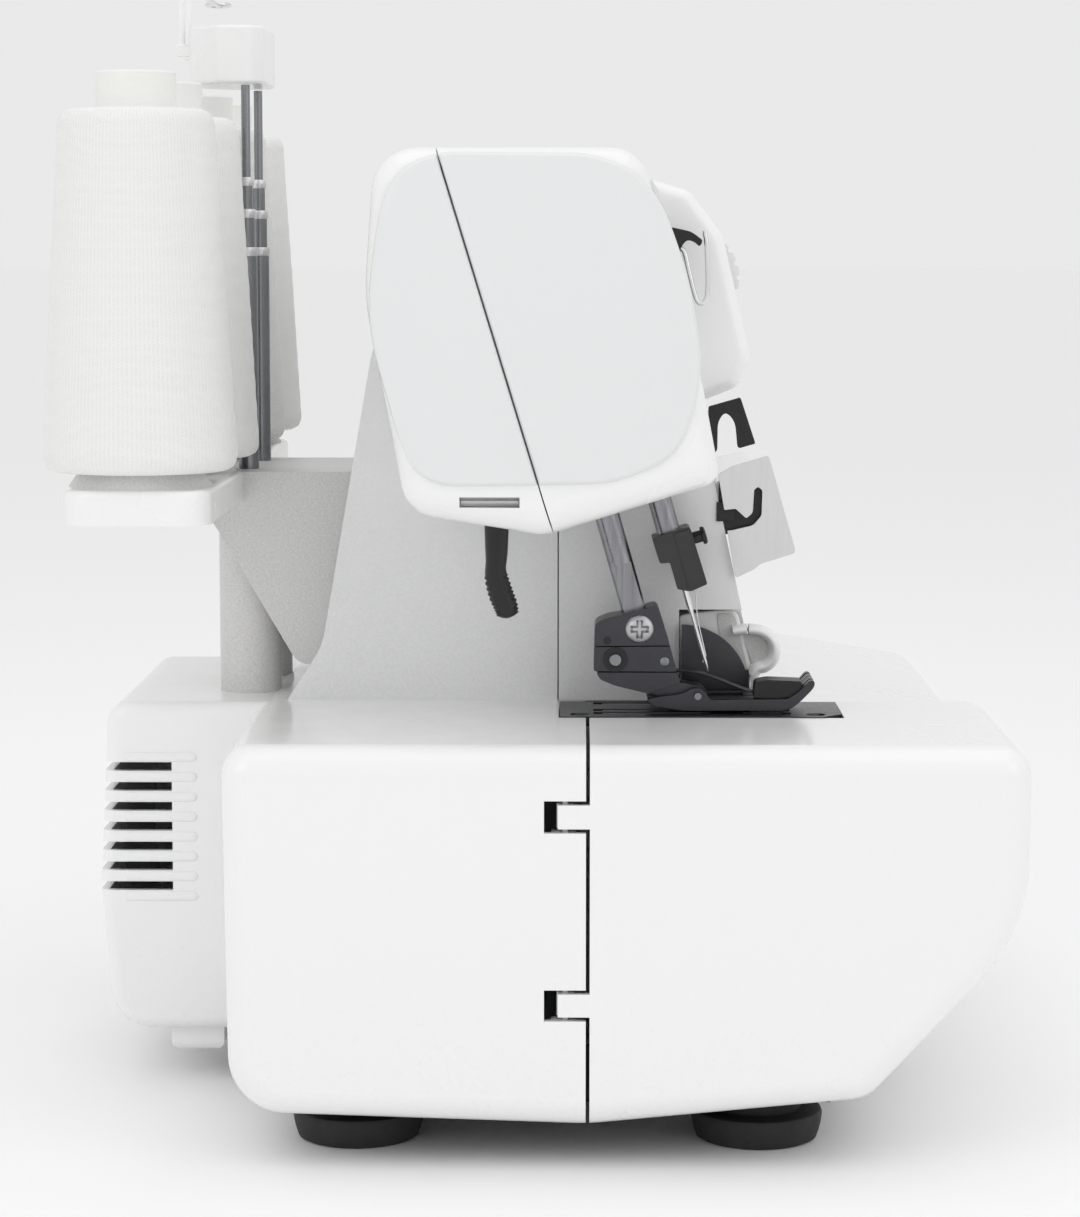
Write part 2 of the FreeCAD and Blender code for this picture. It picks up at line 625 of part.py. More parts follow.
def machine_frame():
    floor = s.footHeight + s.panThick
    plate_top = floor + s.framePost + s.bedPlate
    wall_x = ((-60, -60 + s.castThick), (88, 88 + s.castThick))
    parts = [
        box("FrameBed", (-148, 130), (-50, 48), (plate_top - s.bedPlate, plate_top)),
        box("FrameArm", (-104, wall_x[1][1]), (14, 30), (228, 262)),
        box("FrameWeb", (-104, -100), (-30, 30), (196, 262)),
        box("FrameLowerBlock", (-104, -74.5), (-44, 2), (197, 206)),
        box("FrameUpperBlock", (-104, -74.5), (-30, 18), (244, 254)),
        box("PlateSideRest", (-s.plateLeft, -s.plateLeft + 4), (-90, -8),
            (108, s.bedHeight - s.plateThick + s.plateProud)),
        box("PlateRearRest", (-s.plateLeft, -s.plateRight), (-16, -8),
            (108, s.bedHeight - s.plateThick + s.plateProud)),
        box("PlateLeg", (-s.plateLeft, -s.plateLeft + 4), (-40, -8), (plate_top, 110)),
        box("LooperLug", (-52, 8), (-48, -40), (plate_top - 1, 70)),
    ]
    posts = [
        rod(f"FramePost{mark}", 5, (x, y, floor), plate_top - floor - s.bedPlate + 1)
        for mark, (x, y) in enumerate(((-135, -42), (-135, 40), (118, -42), (118, 40)))
    ]
    walls = [
        box(f"FrameWall{mark}", across, (-20, 40), (plate_top - 1, 240))
        for mark, across in enumerate(wall_x)
    ]
    bush = s.shaftRadius + 3.5
    bores = [rod("ShaftBore", bush, (-80, *SHAFT), 200, "x")]
    for name, origin, radius in BARS:
        bores.append(leaned_rod(f"FrameBore_{name}", radius + s.bushWall, origin, 5, 84))
    for name, x, z in LOOPER_PIVOTS:
        bores.append(rod(f"FrameBore_{name}", 3 + s.runClear, (x, -60, z), 25, "y"))
    frame = fuse("FrameRaw", *parts, *posts, *walls)
    node("machine_frame", cut("Frame", frame, *bores))
    rings = []
    for mark, across in enumerate(wall_x):
        ring = rod(f"Bearing{mark}", bush, (across[0], *SHAFT), s.castThick, "x")
        hole = rod(
            f"BearingHole{mark}", s.shaftRadius + s.runClear, (across[0] - 1, *SHAFT),
            s.castThick + 2, "x")
        rings.append(cut(f"BearingRing{mark}", ring, hole))
    node("shaft_bearings", group("Bearings", *rings))
    bushes = []
    for name, origin, radius in BARS:
        for step, (low, high) in enumerate(((13, 27), (62, 76))):
            ring = leaned_rod(f"Bush_{name}{step}", radius + s.bushWall, origin, low, high)
            hole = leaned_rod(
                f"BushHole_{name}{step}", radius + s.runClear, origin, low - 1, high + 1)
            bushes.append(cut(f"BushRing_{name}{step}", ring, hole))
    node("bar_bushes", group("BarBushes", *bushes))


BARS = (("Needle", NEEDLE, s.needleBarRadius), ("Presser", PRESSER, s.presserBarRadius))
LOOPER_PIVOTS = (("Lower", -40, 45), ("Upper", -5, 60))


# Drive.

def strap(name, centres, radii, across):
    # Two discs and the quadrilateral between their outside tangents.
    (ya, za), (yb, zb) = centres
    ra, rb = radii
    dy, dz = float(yb - ya), float(zb - za)
    span = math.hypot(dy, dz)
    way = (dy / span, dz / span)
    sine = (float(ra) - float(rb)) / span
    cosine = math.sqrt(1 - sine * sine)
    left = (way[0] * sine - way[1] * cosine, way[1] * sine + way[0] * cosine)
    right = (way[0] * sine + way[1] * cosine, way[1] * sine - way[0] * cosine)
    outline = [
        (ya + ra * right[0], za + ra * right[1]), (yb + rb * right[0], zb + rb * right[1]),
        (yb + rb * left[0], zb + rb * left[1]), (ya + ra * left[0], za + ra * left[1]),
    ]
    low, high = across
    between = prism(name + "Span", "YZ", outline, low, high)
    ends = [
        rod(f"{name}End{mark}", radius, (low, *centre), high - low, "x")
        for mark, (centre, radius) in enumerate(zip(centres, radii))
    ]
    return fuse(name, between, *ends)


def drive():
    low = s.beltX
    main = rod("MainShaftRod", s.shaftRadius, (-72, *SHAFT), s.bodyRight + 77, "x")
    wheel = rod("BeltWheel", s.beltWheelRadius, (low, *SHAFT), s.beltWide, "x")
    rim = [
        rod(f"BeltRim{mark}", s.beltWheelRadius + 3, (x, *SHAFT), 1.5, "x")
        for mark, x in enumerate((low - 1.5, low + s.beltWide))
    ]
    crank = rod("NeedleCrank", 13, (-48, s.shaftY + 4, s.shaftZ + 3), 10, "x")
    looper = rod("LooperEccentric", 11, (-30, s.shaftY - 3, s.shaftZ), 8, "x")
    feed = rod("FeedEccentric", 9, (-68, s.shaftY + 2, s.shaftZ + 1), 6, "x")
    node("main_shaft", fuse("MainShaft", main, wheel, *rim, crank, looper, feed))
    start = s.bodyRight + 3
    disc = rod("WheelDisc", s.wheelRadius, (start, *SHAFT), s.wheelWide, "x")
    disc = rounded("WheelRound", disc, 3, lambda edge: True)
    dish = taper("WheelDish", 20, 25, (start + 10, *SHAFT), s.wheelWide, "x")
    hub = rod("WheelHub", 9, (start - 9, *SHAFT), 20, "x")
    bore = rod("WheelBore", s.shaftRadius, (start - 12, *SHAFT), 14, "x")
    grips = []
    for step in range(24):
        angle = step * math.tau / 24
        reach = s.wheelRadius + 1.2
        grips.append(rod(
            f"WheelGrip{step}", 2.2,
            (start - 1, s.shaftY + reach * math.cos(angle), s.shaftZ + reach * math.sin(angle)),
            s.wheelWide + 2, "x"))
    dished = cut("WheelDished", disc, dish, *grips)
    node("handwheel", cut("Handwheel", fuse("WheelFused", dished, hub), bore))
    centres = (SHAFT, (s.motorY, s.motorZ))
    across = (low, low + s.beltWide)
    grow = s.bodyGap + s.beltThick
    inner = (s.beltWheelRadius + s.bodyGap, s.pulleyRadius + s.bodyGap)
    outer = (s.beltWheelRadius + grow, s.pulleyRadius + grow)
    hollow = strap("BeltHollow", centres, inner, (across[0] - 1, across[1] + 1))
    band = strap("BeltBand", centres, outer, (across[0] + 0.5, across[1] - 0.5))
    node("drive_belt", cut("Belt", band, hollow))
    motor_left = -50
    case = rod("MotorCase", s.motorRadius, (motor_left, s.motorY, s.motorZ), s.motorLong, "x")
    nose = rod("MotorNose", 10, (motor_left + s.motorLong, s.motorY, s.motorZ), 6, "x")
    well = rod(
        "MotorWell", s.motorShaftRadius + s.runClear,
        (motor_left + s.motorLong - 14, s.motorY, s.motorZ), 24, "x")
    ledge = s.footHeight + s.panThick + s.framePost
    mount = box("MotorMount", (-30, 20), (48, s.motorY - 14), (ledge, ledge + s.bedPlate))
    leg = box(
        "MotorLeg", (-20, 10), (s.motorY - 22, s.motorY - 14),
        (ledge + s.bedPlate - 1, s.motorZ - 12))
    node("drive_motor", cut("Motor", fuse("MotorFused", case, nose, mount, leg), well))
    shaft = rod(
        "MotorShaftRod", s.motorShaftRadius,
        (motor_left + s.motorLong - 13, s.motorY, s.motorZ), low + s.beltWide + 17 - s.motorLong + 48,
        "x")
    pulley = rod("Pulley", s.pulleyRadius, (low - 1, s.motorY, s.motorZ), s.beltWide + 2, "x")
    node("motor_shaft", fuse("MotorShaft", shaft, pulley))


# Needle, presser and feed.

def needle_parts():
    origin = NEEDLE
    node("needle_bar", leaned_rod("NeedleBar", s.needleBarRadius, origin, -12, s.barLength))
    upper = leaned_box("ClampUpper", origin, (-7, 7), (-7, 5.6), (-15, -6))
    lower = leaned_box("ClampLower", origin, (-7, 7), (-6.7, 2.2), (-25, -14))
    knob = leaned_box("ClampKnob", origin, (-1.6, 1.6), (-11.2, -6), (-12.5, -8.5))
    bore = leaned_rod("ClampBore", s.needleBarRadius, origin, -12, 0)
    needle_holes, needles = [], []
    for mark, side in enumerate((-1, 1)):
        shift = s.needlePitch / 2 * side
        tall = s.needleDrop + 24
        needle_holes.append(leaned_rod(f"NeedleSeat{mark}", 1, origin, -26, -16, shift))
        shank = leaned_rod(f"NeedleShank{mark}", 1, origin, -25 - 4, -16, shift)
        blade = leaned_rod(f"NeedleBlade{mark}", s.needleRadius, origin, 3 - tall, -28, shift)
        tip = taper(
            f"NeedleTip{mark}", 0.1, s.needleRadius,
            leaned_point(origin, shift, 0, -tall), 3, turn=LEANED)
        needles.append(fuse(f"Needle{mark}", shank, blade, tip))
    clamp = fuse("ClampFused", upper, lower, knob)
    node("needle_clamp", cut("Clamp", clamp, bore, *needle_holes))
    node("needles", group("Needles", *needles))


def presser_parts():
    origin = PRESSER
    bar = leaned_rod("PresserBarRod", s.presserBarRadius, origin, -34, s.barLength)
    flat = leaned_box("PresserFlat", origin, (-8, -2.2), (-5, 5), (-35, -16))
    node("presser_bar", cut("PresserBar", bar, flat))
    x = -s.presserX
    outline = [
        (-17.3, 133.8, 1.5), (-17.3, 146.4, 2), (-35.5, 153.8, 1.5), (-41.3, 131.0),
        (-25.4, 128.6, 3),
    ]
    block = prism("AnkleBlock", "YZ", outline, x - 7, x + 7)
    arm_outline = [
        (-26, 129), (-30, 132.5), (-50.4, 130.0, 2), (-51, 125.6, 2), (-44, 125.2),
    ]
    arm = prism("AnkleArm", "YZ", list(reversed(arm_outline)), x - 4, x + 4)
    bar_seat = leaned_rod("AnkleSeat", s.presserBarRadius, origin, -34, -10)
    screw = rod("AnkleScrew", 3.6, (x - 9, -31.8, 147.2), 3, "x")
    pin = rod("AnklePin", 1.1, (x - 11, FOOT_PIVOT[0], FOOT_PIVOT[1]), 22, "x")
    held = cut("AnkleHeld", fuse("AnkleFused", block, arm), bar_seat)
    node("foot_ankle", fuse("FootAnkle", held, screw, pin))
    sole_outline = [
        (-44, 123), (-33.6, 124.4), (-33.6, 126.6, 1), (-47, 126), (-70, 126), (-77, 126.5, 4),
        (-84.5, 133.2), (-85.6, 131.6), (-78.5, 123.4, 5), (-70, 123),
    ]
    sole = prism("SolePlate", "YZ", clockwise_mended(sole_outline), x - 7, x + 15)
    ears = [
        prism(f"SoleEar{mark}", "YZ", [
            (-44, 125), (-46, 130, 1.5), (-51.5, 130, 1.5), (-54, 125)], low, low + 2.4)
        for mark, low in enumerate((x - 8.4, x + 6))
    ]
    pivot = rod("SolePivot", 1.1 + s.runClear, (x - 12, *FOOT_PIVOT), 24, "x")
    slot = box("SoleSlot", (-s.needleX - 4, -s.needleX + 4), (-62, -53), (120, 130))
    arm_way = box("SoleArmWay", (x - 4.6, x + 4.6), (-53, -30), (125.0, 140))
    node("presser_foot", cut("PresserFoot", fuse("SoleFused", sole, *ears), pivot, slot, arm_way))


FOOT_PIVOT = (-48.6, 127.8)


def clockwise_mended(corners):
    # Outlines run anticlockwise, whichever way their points were listed.
    area = sum(
        float(a[0]) * float(b[1]) - float(b[0]) * float(a[1])
        for a, b in zip(corners, corners[1:] + corners[:1]))
    return corners if area > 0 else list(reversed(corners))


def needle_plate():
    top = s.bedHeight + s.plateProud
    low = top - s.plateThick
    plate = prism("PlateBlank", "XY", [
        (-s.plateLeft, -s.plateFront + 6), (-s.plateLeft + 6, -s.plateFront),
        (-s.plateRight, -s.plateFront), (-s.plateRight, -s.plateRear),
        (-s.plateLeft, -s.plateRear)], low, top)
    slots = [
        box(f"FeedSlot{mark}{end}", (x - 0.6, x + 3.6), (y0 - 2.8, y1 + 2.8), (low - 1, top + 1))
        for mark, x in enumerate(FEED_ROWS) for end, (y0, y1) in enumerate(FEED_RUNS)
    ]
    hole = box("NeedleHole", (-s.needleX - 3.4, -s.needleX + 3.4), (-62, -53.5), (low - 1, top + 1))
    screws = [
        taper(f"PlateScrewWell{mark}", 1.6, 3.2, (x, y, top - 2), 2.2)
        for mark, (x, y) in enumerate(((-99, -13), (-99, -84)))
    ]
    node("needle_plate", cut("NeedlePlate", plate, hole, *slots, *screws))


FEED_ROWS = (-98, -91.5, -77)
FEED_RUNS = ((-74, -65), (-50, -20))


def feed_and_knives():
    top = s.bedHeight
    parts = []
    for end, (y0, y1) in enumerate(FEED_RUNS):
        parts.append(box(f"FeedBase{end}", (-98.5, -73.5), (y0, y1), (top - 9, top - 5)))
        for mark, x in enumerate(FEED_ROWS):
            parts.append(box(f"FeedTooth{mark}{end}", (x, x + 3), (y0, y1), (top - 6, top)))
    node("feed_dogs", fuse("FeedDogs", *parts))
    blade = box("LowerBlade", (-71.2, -70.4), (-66, -57), (98, top))
    holder = box("LowerHolder", (-74, -71.2), (-66, -57), (94, 110))
    node("lower_knife", fuse("LowerKnife", blade, holder))
    sector = rod("KnifeSector", 21, (-69.9, -44.6, 125), 2.4, "x")
    quarter = box("KnifeQuarter", (-75, -60), (-70, -44.6), (125, 150))
    cutter = box("UpperBlade", (-70.0, -68.6), (-65.4, -57.5), (113, 132))
    node("upper_knife", fuse("UpperKnife", common("KnifeArm", sector, quarter), cutter))


def loopers():
    thick = s.looperThick
    lower = [
        (-34, 42, 3), (-36, 52), (-66, 96, 6), (-88, 105), (-90, 103.5), (-67, 89, 6),
        (-45, 50), (-46, 40, 3),
    ]
    upper = [
        (0, 57, 3), (0, 64), (-42, 96, 6), (-58, 106), (-59.5, 104), (-45, 89, 6), (-10, 56, 3),
    ]
    makes = (("lower_looper", lower, -54, 0), ("upper_looper", upper, -67.2, 1))
    for label, outline, y, mark in makes:
        name, x, z = LOOPER_PIVOTS[mark]
        arm = prism(f"Looper{name}", "XZ", clockwise_mended(outline), Size(y), y + thick)
        shaft = rod(f"LooperShaft{name}", 3, (x, Size(y), z), -40 - y + 2, "y")
        node(label, fuse(f"LooperBody{name}", arm, shaft))


# Small fixed fittings at the front.

def guides(arm_outer):
    x = -s.columnLeft
    plate_outline = [
        (-56, 197, 2), (-74.8, 198.7, 3), (-81.2, 169.8, 3), (-66.8, 165.2, 2), (-59, 176),
    ]
    plate = prism("GuidePlateBlank", "YZ", plate_outline, x - 2, x + 1)
    slot = box("GuideSlot", (x - 5, x + 5), (-70.5, -68.5), (177, 201))
    arm = box("GuidePlateArm", (x - 2, x + 60), (-61, -55.5), (178, 184))
    bar = prism("LowerGuideBar", "YZ", clockwise_mended([
        (-57, 181), (-57, 190), (-74, 194, 2), (-78, 176, 2)]), x + 4, x + 110)
    hollow = prism("LowerGuideHollow", "YZ", clockwise_mended([
        (-50, 183), (-50, 188.6), (-72.8, 191.6, 1), (-76, 178.2, 1)]), x + 6, x + 108)
    kept = cut("GuidePlateCut", fuse("GuideFused", plate, arm, bar), slot, hollow)
    node("thread_guide_plate", cut("GuidePlate", kept, nodes["arm_front_cover"]))
    chrome = prism("ChromeBlank", "YZ", [
        (-51, 213.5, 1), (-63.6, 217, 2), (-68.6, 200.5, 1), (-64.8, 199.5, 1), (-61, 212, 1),
        (-55, 210, 1), (-58.5, 198.5, 1), (-54, 197.4, 1), (-49, 207)], x - 4, x - 2.8)
    foot = box("ChromeFoot", (x - 4, x + 2), (-53, -47), (206, 212))
    node("chrome_thread_guide", cut("ChromeGuide", fuse("ChromeFused", chrome, foot), arm_outer))
    guard = prism("GuardPlate", "YZ", [
        (-44.2, 125), (-44.2, 150, 2), (-61.6, 150, 2), (-62.5, 147.3), (-70.5, 147.3, 3),
        (-75.8, 142, 3), (-75.8, 136.5), (-73.8, 136.5), (-73.8, 141.4, 2), (-69.8, 145.2, 2),
        (-63.2, 145.2), (-66.4, 125)], x + 5, x + 8)
    node("finger_guard", guard)


def take_up():
    outline = [
        (-8, 257.5, 3), (-8, 266, 3), (-20, 267), (-45, 262), (-53, 268, 1), (-55.5, 262, 1),
        (-47, 256), (-52, 247, 1), (-49, 245, 1), (-42, 255), (-20, 258),
    ]
    arm = prism("TakeUpArm", "YZ", outline, Size(-73.2), Size(-70.8))
    hub = rod("TakeUpHub", 5.5, (-73.6, -13, 262), 3.4, "x")
    node("take_up_lever", fuse("TakeUp", arm, hub))


def thread_cutter():
    left = -s.headLeft
    blade = box("CutterBlade", (left + 2.6, left + 8), (4.4, 20.6), (190.1, 190.9))
    rest = box("CutterRest", (left + 5.5, left + 9), (4, 21), (188.4, 192.6))
    node("thread_cutter", fuse("Cutter", blade, rest))


def presser_lifter():
    y, z = s.leverY, s.leverZ
    outline = [
        (y - 4.2, z - 4), (y + 4.2, z - 4), (y + 4.2, z - 12), (y + 1.6, z - 30, 20),
        (y - 0.4, z - s.leverDrop, 1.5), (y - 4.4, z - s.leverDrop, 1.5), (y - 5, z - 30, 10),
    ]
    arm = prism("LifterArm", "YZ", clockwise_mended(outline), -s.leverX - 3.6, -s.leverX + 3.6)
    hub = rod("LifterHub", 5.2, (-s.leverX - 3.6, y, z), 7.2, "x")
    node("presser_lifter", fuse("Lifter", arm, hub))


def controls():
    x = s.bodyRight
    dial_spot = (x + s.bodyGap, s.controlY, s.stitchDialZ)
    dial = rod("StitchDialDisc", s.stitchDialRadius, dial_spot, s.stitchDialWide, "x")
    dial = rounded("StitchDialRound", dial, 1.5, at_x(x + s.bodyGap + s.stitchDialWide))
    spindle = rod("StitchDialStem", 2.9, (x - 8, *dial_spot[1:]), 9, "x")
    node("stitch_length_dial", fuse("StitchDial", dial, spindle))
    hub = rod("FeedHub", 6, (x + s.bodyGap, s.controlY, 52), 3, "x")
    arm = box(
        "FeedArm", (x + s.bodyGap, x + s.bodyGap + 3), (s.controlY - 3, s.controlY + 3), (52, 72))
    knob = box(
        "FeedKnob", (x + s.bodyGap, x + 9), (s.controlY - 4, s.controlY + 4), (68, 76))
    stem = rod("FeedStem", 2.9, (x - 8, s.controlY, 52), 9, "x")
    node("differential_feed_lever", fuse("FeedLever", hub, arm, knob, stem))
    rocker = prism("Rocker", "XZ", [
        (x - 5, 29), (x + 1, 28.4, 1), (x - 0.2, 34), (x + 1.6, 39.6, 1), (x - 5, 39)],
        Size(30), Size(44))
    pin = rod("RockerPin", 1.2, (x - 3.5, 28.6, 34), 16.8, "y")
    node("power_switch", fuse("PowerSwitch", rocker, pin))
    socket = box("InletBody", (x - 14, x + 1.2), (56, 76), (27, 41))
    hollow = box("InletHollow", (x - 12, x + 5), (58, 74), (29, 39.5))
    blades = [
        box(f"InletBlade{mark}", (x - 13, x - 3), (y, y + 3.2), (36, 37.2))
        for mark, y in enumerate((61, 67.8))
    ]
    node("power_inlet", fuse("Inlet", cut("InletCut", socket, hollow), *blades))


# Thread stand.

def cone_places():
    middle = -s.standMiddle
    return [middle - s.coneOuter, middle - s.coneInner, middle + s.coneInner, middle + s.coneOuter]


def thread_stand(arm_outer, base_outer):
    top = s.shelfTop
    xs = [-s.standMiddle - s.poleHalf, -s.standMiddle + s.poleHalf]
    outline = [
        (45, top - 1), (45, 170), (70, 131), (76, 131, 6), (100, 172, 8), (104, 178, 3),
        (104, top - 1, 2),
    ]
    web = prism("BracketWeb", "YZ", clockwise_mended(outline), xs[0] - 15, xs[1] + 15)
    others = (arm_outer, base_outer)
    posts, solids = [], []
    for mark, x in enumerate(xs):
        post = rod(f"Post{mark}", s.postRadius, (x, s.poleY, 121), top - 5 - 121)
        bore = rod(f"PostBore{mark}", s.poleRadius, (x, s.poleY, 140), top - 130)
        posts.append(cut(f"PostTube{mark}", post, *others, bore))
        solids.append(rod(f"PostSolid{mark}", s.postRadius, (x, s.poleY, 121), top - 5 - 121))
        solids.append(rod(f"WebBore{mark}", s.poleRadius, (x, s.poleY, 140), top - 130))
    web = cut("BracketFitted", web, *others, *solids)
    node("stand_bracket", group("Bracket", web, *posts))
    shelf = box(
        "ShelfBlank", (-s.shelfLeft, s.shelfRight), (s.shelfFront, s.shelfRear),
        (top - s.shelfThick, top))
    shelf = rounded("ShelfCorners", shelf, 9, lambda edge: is_upright(edge))
    shelf = rounded("ShelfRound", shelf, 2, at_z(top))
    clear = box(
        "ShelfNotch", (xs[0] - 15, xs[1] + 15), (80, 104), (top - s.shelfThick - 1, top + 1))
    pins, pin_holes, discs = [], [], []
    for mark, x in enumerate(cone_places()):
        spot = (x, s.coneY, top - 6)
        pins.append(rod(f"SpoolPin{mark}", s.pinRadius, spot, s.pinTall + 6))
        pin_holes.append(rod(f"SpoolPinSeat{mark}", s.pinRadius, spot, 8))
        disc = taper(
            f"Disc{mark}", s.discRadius, s.discRadius - 3, (x, s.coneY, top), s.discThick)
        hole = rod(f"DiscHole{mark}", s.pinRadius, (x, s.coneY, top - 1), 8)
        discs.append(cut(f"DiscRing{mark}", disc, hole))
    node("stand_shelf", cut("Shelf", shelf, clear, *pin_holes))
    node("spool_pins", group("SpoolPins", *pins))
    node("spool_discs", group("SpoolDiscs", *discs))
    low = top + s.discThick + s.bodyGap
    for mark, x in enumerate(cone_places()):
        wound = taper(
            f"ConeWound{mark}", s.coneRadius, s.coneTopRadius, (x, s.coneY, low), s.coneTall)
        tube = rod(f"ConeTube{mark}", s.tubeRadius, (x, s.coneY, low), s.coneTall + s.tubeProud)
        bore = rod(
            f"ConeBore{mark}", s.tubeBore, (x, s.coneY, low - 1), s.coneTall + s.tubeProud + 2)
        node(f"thread_cone_{mark + 1}", cut(f"Cone{mark}", fuse(f"ConeFull{mark}", wound, tube), bore))
    telescopic_pole(xs)


def is_upright(edge):
    first, last = edge.Vertexes[0], edge.Vertexes[-1]
    return abs(first.X - last.X) < 1e-6 and abs(first.Y - last.Y) < 1e-6


def telescopic_pole(xs):
    # Each section slides in the one below it with the running clearance.
    shows = (s.secondShow, s.thirdShow, s.topShow)
    top = s.poleTop
    radius = s.poleRadius
    low = Size(140)
    stages = []
    for label in ("pole_base", "pole_second", "pole_third", "pole_top"):
        stages.append((label, radius, low, top))
        radius = radius - s.poleStep - s.runClear
        if shows[len(stages) - 1:]:
            top = top + shows[len(stages) - 1]
        low = top - s.poleHidden
    for label, radius, low, top in stages:
        tubes = []
        for mark, x in enumerate(xs):
            tube = rod(f"{label}Rod{mark}", radius, (x, s.poleY, low), top - low)
            if label != "pole_top":
                bore = rod(
                    f"{label}Bore{mark}", radius - s.poleStep, (x, s.poleY, low - 1), top - low + 2)
                tube = cut(f"{label}Tube{mark}", tube, bore)
            tubes.append(tube)
        node(label, group(label + "Pair", *tubes))
    guide_head(xs, stages[-1])


def guide_head(xs, stage):
    _, radius, _, top = stage
    seat = top - 3
    front, rear = s.poleY - 6, s.poleY + 19.5
    low_x, high_x = xs[0] - 11, xs[1] + 11
    block = box("HeadBlock", (low_x, high_x), (front, rear), (seat + 3, seat + 3 + s.guideTall))
    block = rounded("HeadBlockRound", block, 3, is_upright)
    wire_y = s.coneY - s.eyeRadius
    stems = [
        rod(f"HeadStem{side}", s.wireRadius, (-s.standMiddle + 10 * side, wire_y, seat + 8),
            s.guideBarLow - seat - 8)
        for side in (-1, 1)
    ]
    cleat = box(
        "HeadCleat", (-s.standMiddle - 14, -s.standMiddle + 14), (rear - 1, wire_y + 0.6),
        (seat + 6, seat + 12))
    reach = s.guideReach
    bar = rod(
        "HeadBar", s.wireRadius, (-s.standMiddle - reach, wire_y, s.guideBarLow), 2 * reach, "x")
    rings, eyes = [], []
    for mark, x in enumerate(cone_places()):
        low = s.guideBarLow - s.wireRadius - 0.2
        tall = 2 * s.wireRadius + 0.4
        rings.append(rod(f"HeadEye{mark}", s.eyeRadius + s.wireRadius, (x, s.coneY, low), tall))
        eyes.append(rod(
            f"HeadEyeHole{mark}", s.eyeRadius - s.wireRadius, (x, s.coneY, low - 1), tall + 2))
    seats = [
        rod(f"HeadSeat{mark}", radius, (x, s.poleY, seat), 3) for mark, x in enumerate(xs)
    ]
    fused = fuse("HeadFused", block, cleat, bar, *stems, *rings)
    node("guide_head", cut("GuideHead", fused, *eyes, *seats))


# Build, check and write.

def build():
    base_outer, base_shell = base_casings()
    arm_outer = arm_covers()
    rear_base_cover(base_shell)
    cloth_plate_cover(base_shell)
    looper_cover()
    tension_housing(arm_outer)
    motor_cover(base_outer, arm_outer)
    base_pan()
    machine_frame()
    drive()
    needle_parts()
    presser_parts()
    needle_plate()
    feed_and_knives()
    loopers()
    guides(arm_outer)
    take_up()
    thread_cutter()
    presser_lifter()
    controls()
    thread_stand(arm_outer, base_outer)
    doc.recompute()


def check():
    for item in doc.Objects:
        if {"Invalid", "Error"} & set(item.State):
            raise RuntimeError(f"{item.Name} failed: {item.State}")
    for label, item in nodes.items():
        shape = item.Shape
        if shape.isNull() or not shape.isValid() or not shape.Solids:
            raise RuntimeError(f"{label} has no valid solid")


build()
check()
os.makedirs("parts", exist_ok=True)
for label, item in nodes.items():
    item.Shape.exportStep(f"parts/{label}.step")
    size = item.Shape.BoundBox
    print(f"{label:28s} solids {len(item.Shape.Solids)}  volume {item.Shape.Volume:10.0f}"
          f"  x {size.XMin:.1f}..{size.XMax:.1f} y {size.YMin:.1f}..{size.YMax:.1f}"
          f" z {size.ZMin:.1f}..{size.ZMax:.1f}")
print(len(nodes), "nodes")
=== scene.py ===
import json
import math

import bmesh
import bpy
import numpy as np
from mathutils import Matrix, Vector


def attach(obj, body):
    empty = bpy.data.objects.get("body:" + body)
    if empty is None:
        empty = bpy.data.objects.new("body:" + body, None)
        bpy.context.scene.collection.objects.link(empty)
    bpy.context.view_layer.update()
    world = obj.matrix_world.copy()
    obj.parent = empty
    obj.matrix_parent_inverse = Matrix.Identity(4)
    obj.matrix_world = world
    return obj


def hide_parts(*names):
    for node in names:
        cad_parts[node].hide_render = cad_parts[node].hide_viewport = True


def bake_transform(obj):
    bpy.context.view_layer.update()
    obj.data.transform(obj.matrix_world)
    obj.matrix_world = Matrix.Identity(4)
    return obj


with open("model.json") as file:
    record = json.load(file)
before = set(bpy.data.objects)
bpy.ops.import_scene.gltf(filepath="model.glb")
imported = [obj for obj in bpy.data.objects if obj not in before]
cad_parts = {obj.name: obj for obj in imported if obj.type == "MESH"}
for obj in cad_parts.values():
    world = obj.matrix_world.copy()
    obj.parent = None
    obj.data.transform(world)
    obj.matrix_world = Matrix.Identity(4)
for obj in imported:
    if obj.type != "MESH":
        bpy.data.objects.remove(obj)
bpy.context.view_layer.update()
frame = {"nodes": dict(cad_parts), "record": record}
nodes = frame["nodes"]
print("frame loaded:", len(nodes), "parts")


# Camera, light and floor

studio = {
    "eye": (-1.0644, -0.0130, 0.2616),     # where the camera stands, metres
    "pitch": 6.341, "yaw": 0.708,          # degrees down, and towards +Y
    "lens": 95.7, "sensor": 36.0, "nearest": 0.05, "farthest": 90,
    "floorTone": (0.98, 0.98, 0.98), "floorHalf": 40.0,
    "skyTone": (1.0, 1.0, 1.0), "skyPower": 0.82,
}


# Name, as seen from the camera, then where it stands, where it points, its side and its watts.
lamps = [
    ("overhead", (-0.25, 0.0, 1.5), (0, 0, 0.1), 1.6, 4),
    ("leftFront", (-1.2, 0.9, 0.9), (0, 0, 0.15), 0.9, 2.2),
    ("rightFront", (-1.0, -1.2, 0.8), (0, 0, 0.15), 0.9, 1.6),
]


def aimed(name, data, spot, ahead):
    item = bpy.data.objects.new(name, data)
    item.location = spot
    item.rotation_mode = "QUATERNION"
    item.rotation_quaternion = ahead.to_track_quat("-Z", "Y")
    bpy.context.scene.collection.objects.link(item)
    return item


